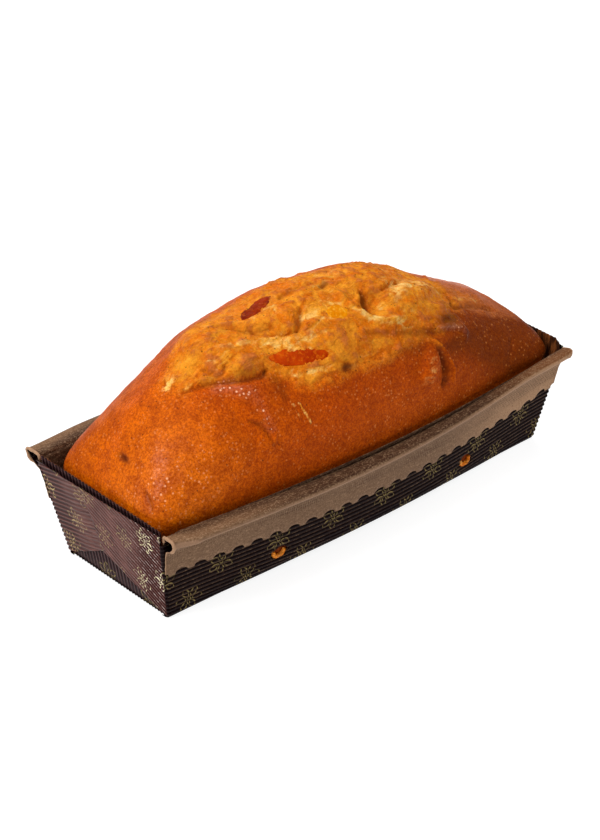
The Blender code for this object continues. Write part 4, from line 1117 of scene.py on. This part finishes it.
def golden_crust():
    """Egg-washed crust: golden to brown skin, with the paler inner crust and the crumb of the split."""
    coat = {"Coat_Roughness": 0.4, "Coat_IOR": 1.5}
    mat, tree, shader = new_material("golden_crust", Roughness=0.4, IOR=1.45, Specular_IOR_Level=0.06, **coat)
    here = own_place(tree)
    keys = ("torn", "crumb", "darker_crust_and_shade", "golden_and_lit", "red", "crown_and_sheen", "wet_and_glints", "burnt_and_crease_shade")
    torn, crumb, darker_crust_and_shade, golden_and_lit, red, crown_and_sheen, wet_and_glints, burnt_and_crease_shade = (mark(tree, key) for key in keys)
    cloud = grain(tree, here, 28.0, 3.0)
    mottle = grain(tree, here, 140.0, 4.0, 0.6)
    swirl = grain(tree, here, 120.0, 6.0, 0.68, 1.0)
    shreds = grain(tree, own_place(tree, (0.6, 1, 1)), 150.0, 6.0, 0.68, 1.2)
    skin_grain = grain(tree, here, 800.0, 3.0, 0.65)
    fine = grain(tree, here, 1250.0, 2.0, 0.7)
    skin = mix(tree, ramp(tree, cloud, 0.3, 0.7), (206, 94, 0), (190, 78, 0))
    # Golden tone and painted light where the gold mark is set.
    skin = mix(tree, golden_and_lit, skin, (224, 118, 4))
    skin = mix(tree, red, skin, (178, 68, 0))
    skin = mix(tree, ramp(tree, mottle, 0.4, 0.62, 0.0, 0.55), skin, (160, 62, 0))
    # Darker crust, with painted shade, where the dark mark is set.
    skin = mix(tree, darker_crust_and_shade, skin, (118, 48, 2))
    inner = mix(tree, ramp(tree, swirl, 0.38, 0.62), (248, 164, 40), (230, 122, 10))
    inner = mix(tree, ramp(tree, shreds, 0.54, 0.68, 0.0, 0.6), inner, (180, 70, 0))
    inner = mix(tree, ramp(tree, shreds, 0.44, 0.3, 0.0, 0.6), inner, (255, 206, 104))
    inner = mix(tree, times(tree, crown_and_sheen, 0.65), inner, (196, 98, 28))
    skin = mix(tree, times(tree, torn, ramp(tree, darker_crust_and_shade, 0.0, 0.8, 0.8, 0.25)), skin, inner)
    soft = mix(tree, ramp(tree, shreds, 0.34, 0.6), (255, 218, 130), (244, 162, 40))
    crumby = plus(tree, crumb, ramp(tree, shreds, 0.3, 0.7, 0.2, -0.25))
    skin = mix(tree, ramp(tree, crumby, 0.15, 0.95, 0.0, 0.85), skin, soft)
    skin = mix(tree, ramp(tree, crown_and_sheen, 0.6, 1.1, 0.0, 0.4), skin, (190, 108, 56))
    # Fine grain multiplied into the skin; its pale whitish end is partly a painted micro-glint.
    grain_and_glint_specks = plus(tree, times(tree, skin_grain, 0.5), times(tree, fine, 0.5))
    grain_and_glint_specks = mix(tree, ramp(tree, grain_and_glint_specks, 0.38, 0.62), (0.76, 0.6, 0.48, 1), (1.26, 1.33, 1.44, 1))
    skin = mix(tree, ramp(tree, torn, 0.1, 0.9, 1.0, 0.4), skin, grain_and_glint_specks, how="MULTIPLY")
    # Burnt crust, with painted shade in the creases.
    skin = mix(tree, times(tree, burnt_and_crease_shade, 0.85), skin, (86, 30, 6))
    dots = [place(tree, "ShaderNodeTexVoronoi", {"Vector": here, "Scale": scale}) for scale in (300.0, 520.0)]
    specks, glint_cells = (node.outputs["Distance"] for node in dots)
    speck = times(tree, ramp(tree, specks, 0.15, 0.07), ramp(tree, mottle, 0.46, 0.54))
    skin = mix(tree, times(tree, speck, 0.75), skin, (70, 32, 8))
    # Painted highlight: pale glint dots painted into the colour where the crust is wet, the brightest where
    # it is wettest.
    glint_dots = times(tree, ramp(tree, glint_cells, 0.34, 0.16), ramp(tree, swirl, 0.46, 0.56))
    painted_glints = times(tree, glint_dots, ramp(tree, wet_and_glints, 0.0, 0.8, 0.32, 0.95))
    skin = mix(tree, painted_glints, skin, mix(tree, wet_and_glints, (240, 152, 80), (255, 200, 164)))
    tree.links.new(skin, shader.inputs["Base Color"])
    gloss = plus(tree, ramp(tree, mottle, 0.3, 0.7, 0.46, 0.58), times(tree, wet_and_glints, -0.16))
    tree.links.new(gloss, shader.inputs["Roughness"])
    sheen = times(tree, wet_and_glints, ramp(tree, skin_grain, 0.4, 0.6, 0.15, 0.9))
    tree.links.new(sheen, shader.inputs["Coat Weight"])
    height = plus(tree, times(tree, skin_grain, 0.5), times(tree, fine, 0.3))
    height = plus(tree, height, times(tree, torn, shreds, 3.0))
    emboss(tree, shader, height, 1.0, 0.0007)
    return mat


CRUST = golden_crust()
loaf = bake_loaf()
loaf.data.materials.append(CRUST)


def vent_dough(name, x, side):
    """A crescent of dough that has pushed into the lower half of a vent and baked there."""
    swing = np.radians(np.linspace(158, 392, 22))
    size = 1.25 * np.sin(np.linspace(0.25, np.pi - 0.25, 22)) ** 0.5
    size = size + 0.35 * np.array([noise.noise(Vector((x, side, 2.0 * q))) for q in swing])
    points = []
    for q, thick in zip(swing, size):
        across, up = np.cos(q), np.sin(q)
        for a in np.linspace(0, 2 * np.pi, 11)[:-1]:
            reach = 2.6 + thick * np.cos(a)
            z = VENT_Z + 0.85 * reach * up
            px = x + 1.1 * reach * across
            points.append((px, side * (wall_out(px, z) - 0.9 + thick * np.sin(a)), z))
    marks = {"crumb": np.full(len(points), 0.45), "golden_and_lit": np.full(len(points), 1.0)}
    obj = flat_mesh(name, points, tube_faces(22, 10), marks)
    obj.data.materials.append(CRUST)
    return smooth(obj)


loaf_pieces = [loaf]
for x, word in zip(VENTS_X, ("left", "right")):
    loaf_pieces.append(vent_dough(f"vent_dough_front_{word}", x, -1))
    loaf_pieces.append(vent_dough(f"vent_dough_back_{word}", x, 1))
for piece in loaf_pieces:
    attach(piece, "root")
    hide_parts("loaf")


# Pieces of fruit.
# Soft candied apricot and peach, cut in strips and cubes and kneaded into the dough. Three show
# in the split, sunk in pockets of the crust, wet and glassy from the oven.

FRUIT_LEVEL, FRUIT_SINK = -0.72, 1.4


def fruit_flesh(name, light, deep, pale):
    """Candied flesh, veined and dimpled, with pale flecks."""
    glassy = {"Roughness": 0.3, "IOR": 1.42, "Specular_IOR_Level": 0.03}
    mat, tree, shader = new_material(name, Subsurface_Weight=0.1, Subsurface_Scale=0.002, **glassy)
    here = own_place(tree)
    flesh = mix(tree, ramp(tree, grain(tree, here, 120.0, 3.0), 0.35, 0.68), light, deep)
    flesh = mix(tree, ramp(tree, grain(tree, here, 520.0, 3.0, 0.65), 0.5, 0.7, 0.0, 0.7), flesh, pale)
    tree.links.new(flesh, shader.inputs["Base Color"])
    gloss = ramp(tree, grain(tree, here, 300.0, 2.0), 0.3, 0.7, 0.22, 0.45)
    tree.links.new(gloss, shader.inputs["Roughness"])
    emboss(tree, shader, grain(tree, here, 700.0, 3.0), 0.7, 0.0006)
    return mat


def fruit_piece(name, fruit, mat, rise):
    """A flat piece in its seat, its edges tucked under the crust."""
    x, y, turn, length, width = fruit
    centre, along, across, _ = crust_axes(x, y, turn)
    layers, spokes = 23, 64
    swing = np.pi * (np.arange(layers) + 0.5) / layers
    angle = 2 * np.pi * np.arange(spokes) / spokes
    t = np.sign(np.cos(angle)) * np.abs(np.cos(angle)) ** 0.8
    wide = (width + 1.5) * np.sin(angle)
    reach = np.sin(swing)[:, None] ** 0.5
    a = (length + 1.6) * reach * t
    b = reach * wide
    lift = np.repeat(np.cos(swing), spokes)
    flat = centre + a.reshape(-1, 1) * along + b.reshape(-1, 1) * across
    ground, up = frame_at(flat[:, 0], flat[:, 1])
    for _ in range(3):
        drift = flat - ground
        drift -= up * np.sum(drift * up, axis=1, keepdims=True)
        ground, up = frame_at(ground[:, 0] + drift[:, 0], ground[:, 1] + drift[:, 1])
    thick = FRUIT_LEVEL + np.where(lift > 0, rise * np.abs(lift) ** 0.6, -FRUIT_SINK * np.abs(lift))
    thick = thick + 0.16 * rough(ground, 2.4) * (lift > 0)
    points = ground + up * thick[:, None]
    obj = face_outward(flat_mesh(name, points, tube_faces(layers, spokes), {}))
    obj.data.materials.append(mat)
    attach(obj, "root")
    return obj


apricot = fruit_flesh("candied_apricot", (196, 66, 0), (166, 44, 0), (216, 104, 10))
apricot_baked = fruit_flesh("baked_apricot", (150, 42, 0), (112, 24, 0), (182, 78, 10))
peach_flesh = fruit_flesh("candied_peach", (236, 144, 4), (222, 120, 2), (246, 184, 60))
front = fruit_piece("apricot_strip_front", APRICOT_FRONT, apricot, 0.3)
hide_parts("apricot_piece_front")
behind = fruit_piece("apricot_strip_back", APRICOT_BACK, apricot_baked, 0.3)
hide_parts("apricot_piece_back")
cube = fruit_piece("peach_cube", PEACH, peach_flesh, 0.35)
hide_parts("peach_piece")


# Table, studio light and camera.
# A plain white table under soft light: a key softbox on the loaf's left, one behind, one above
# and a weaker one over the front.


def pale_table():
    glow = {"Emission_Color": (1, 1, 1, 1), "Emission_Strength": 0.88}
    mat, tree, shader = new_material("pale_table", Roughness=0.7, **glow)
    mottle = grain(tree, own_place(tree), 3.0, 2.0)
    grey = mix(tree, mottle, (0.24, 0.24, 0.24, 1), (0.28, 0.28, 0.28, 1))
    tree.links.new(grey, shader.inputs["Base Color"])
    return mat


table_mesh = bpy.data.meshes.new("table")
bm = bmesh.new()
bmesh.ops.create_grid(bm, x_segments=8, y_segments=8, size=4.0)
for vert in bm.verts:
    vert.co.z = -0.0002
bm.to_mesh(table_mesh)
bm.free()
table = bpy.data.objects.new("table", table_mesh)
bpy.context.scene.collection.objects.link(table)
table_mesh.materials.append(pale_table())

world = bpy.data.worlds.new("studio")
world.use_nodes = True
backdrop = world.node_tree.nodes["Background"].inputs
backdrop["Color"].default_value = (1.0, 1.0, 1.0, 1.0)
backdrop["Strength"].default_value = 0.16
bpy.context.scene.world = world
bpy.context.scene.view_settings.view_transform = "Standard"


def turn_to(obj, location, target):
    obj.location = location
    obj.rotation_mode = "QUATERNION"
    obj.rotation_quaternion = (Vector(target) - Vector(location)).to_track_quat("-Z", "Y")
    bpy.context.scene.collection.objects.link(obj)


def softbox(name, location, size, power):
    data = bpy.data.lights.new(name, "AREA")
    data.shape = "RECTANGLE"
    data.size, data.size_y = size
    data.energy = power
    turn_to(bpy.data.objects.new(name, data), location, (0, 0, 0.05))


softbox("softbox_left", (-1.0, 0.1, 1.05), (0.6, 0.6), 13.0)
softbox("softbox_back", (0.4, 1.4, 0.9), (1.6, 0.9), 9.0)
softbox("softbox_top", (0.1, 0.0, 1.6), (1.2, 1.2), 9.0)
softbox("softbox_front", (0.35, -0.75, 1.3), (1.5, 0.5), 5.5)

camera = bpy.data.cameras.new("camera")
camera.lens = 111.5
camera.sensor_width = 36.0
camera_object = bpy.data.objects.new("camera", camera)
turn_to(camera_object, (-0.68714, -0.76172, 0.65055), (-0.00319, 0.00296, 0.0392))
bpy.context.scene.camera = camera_object
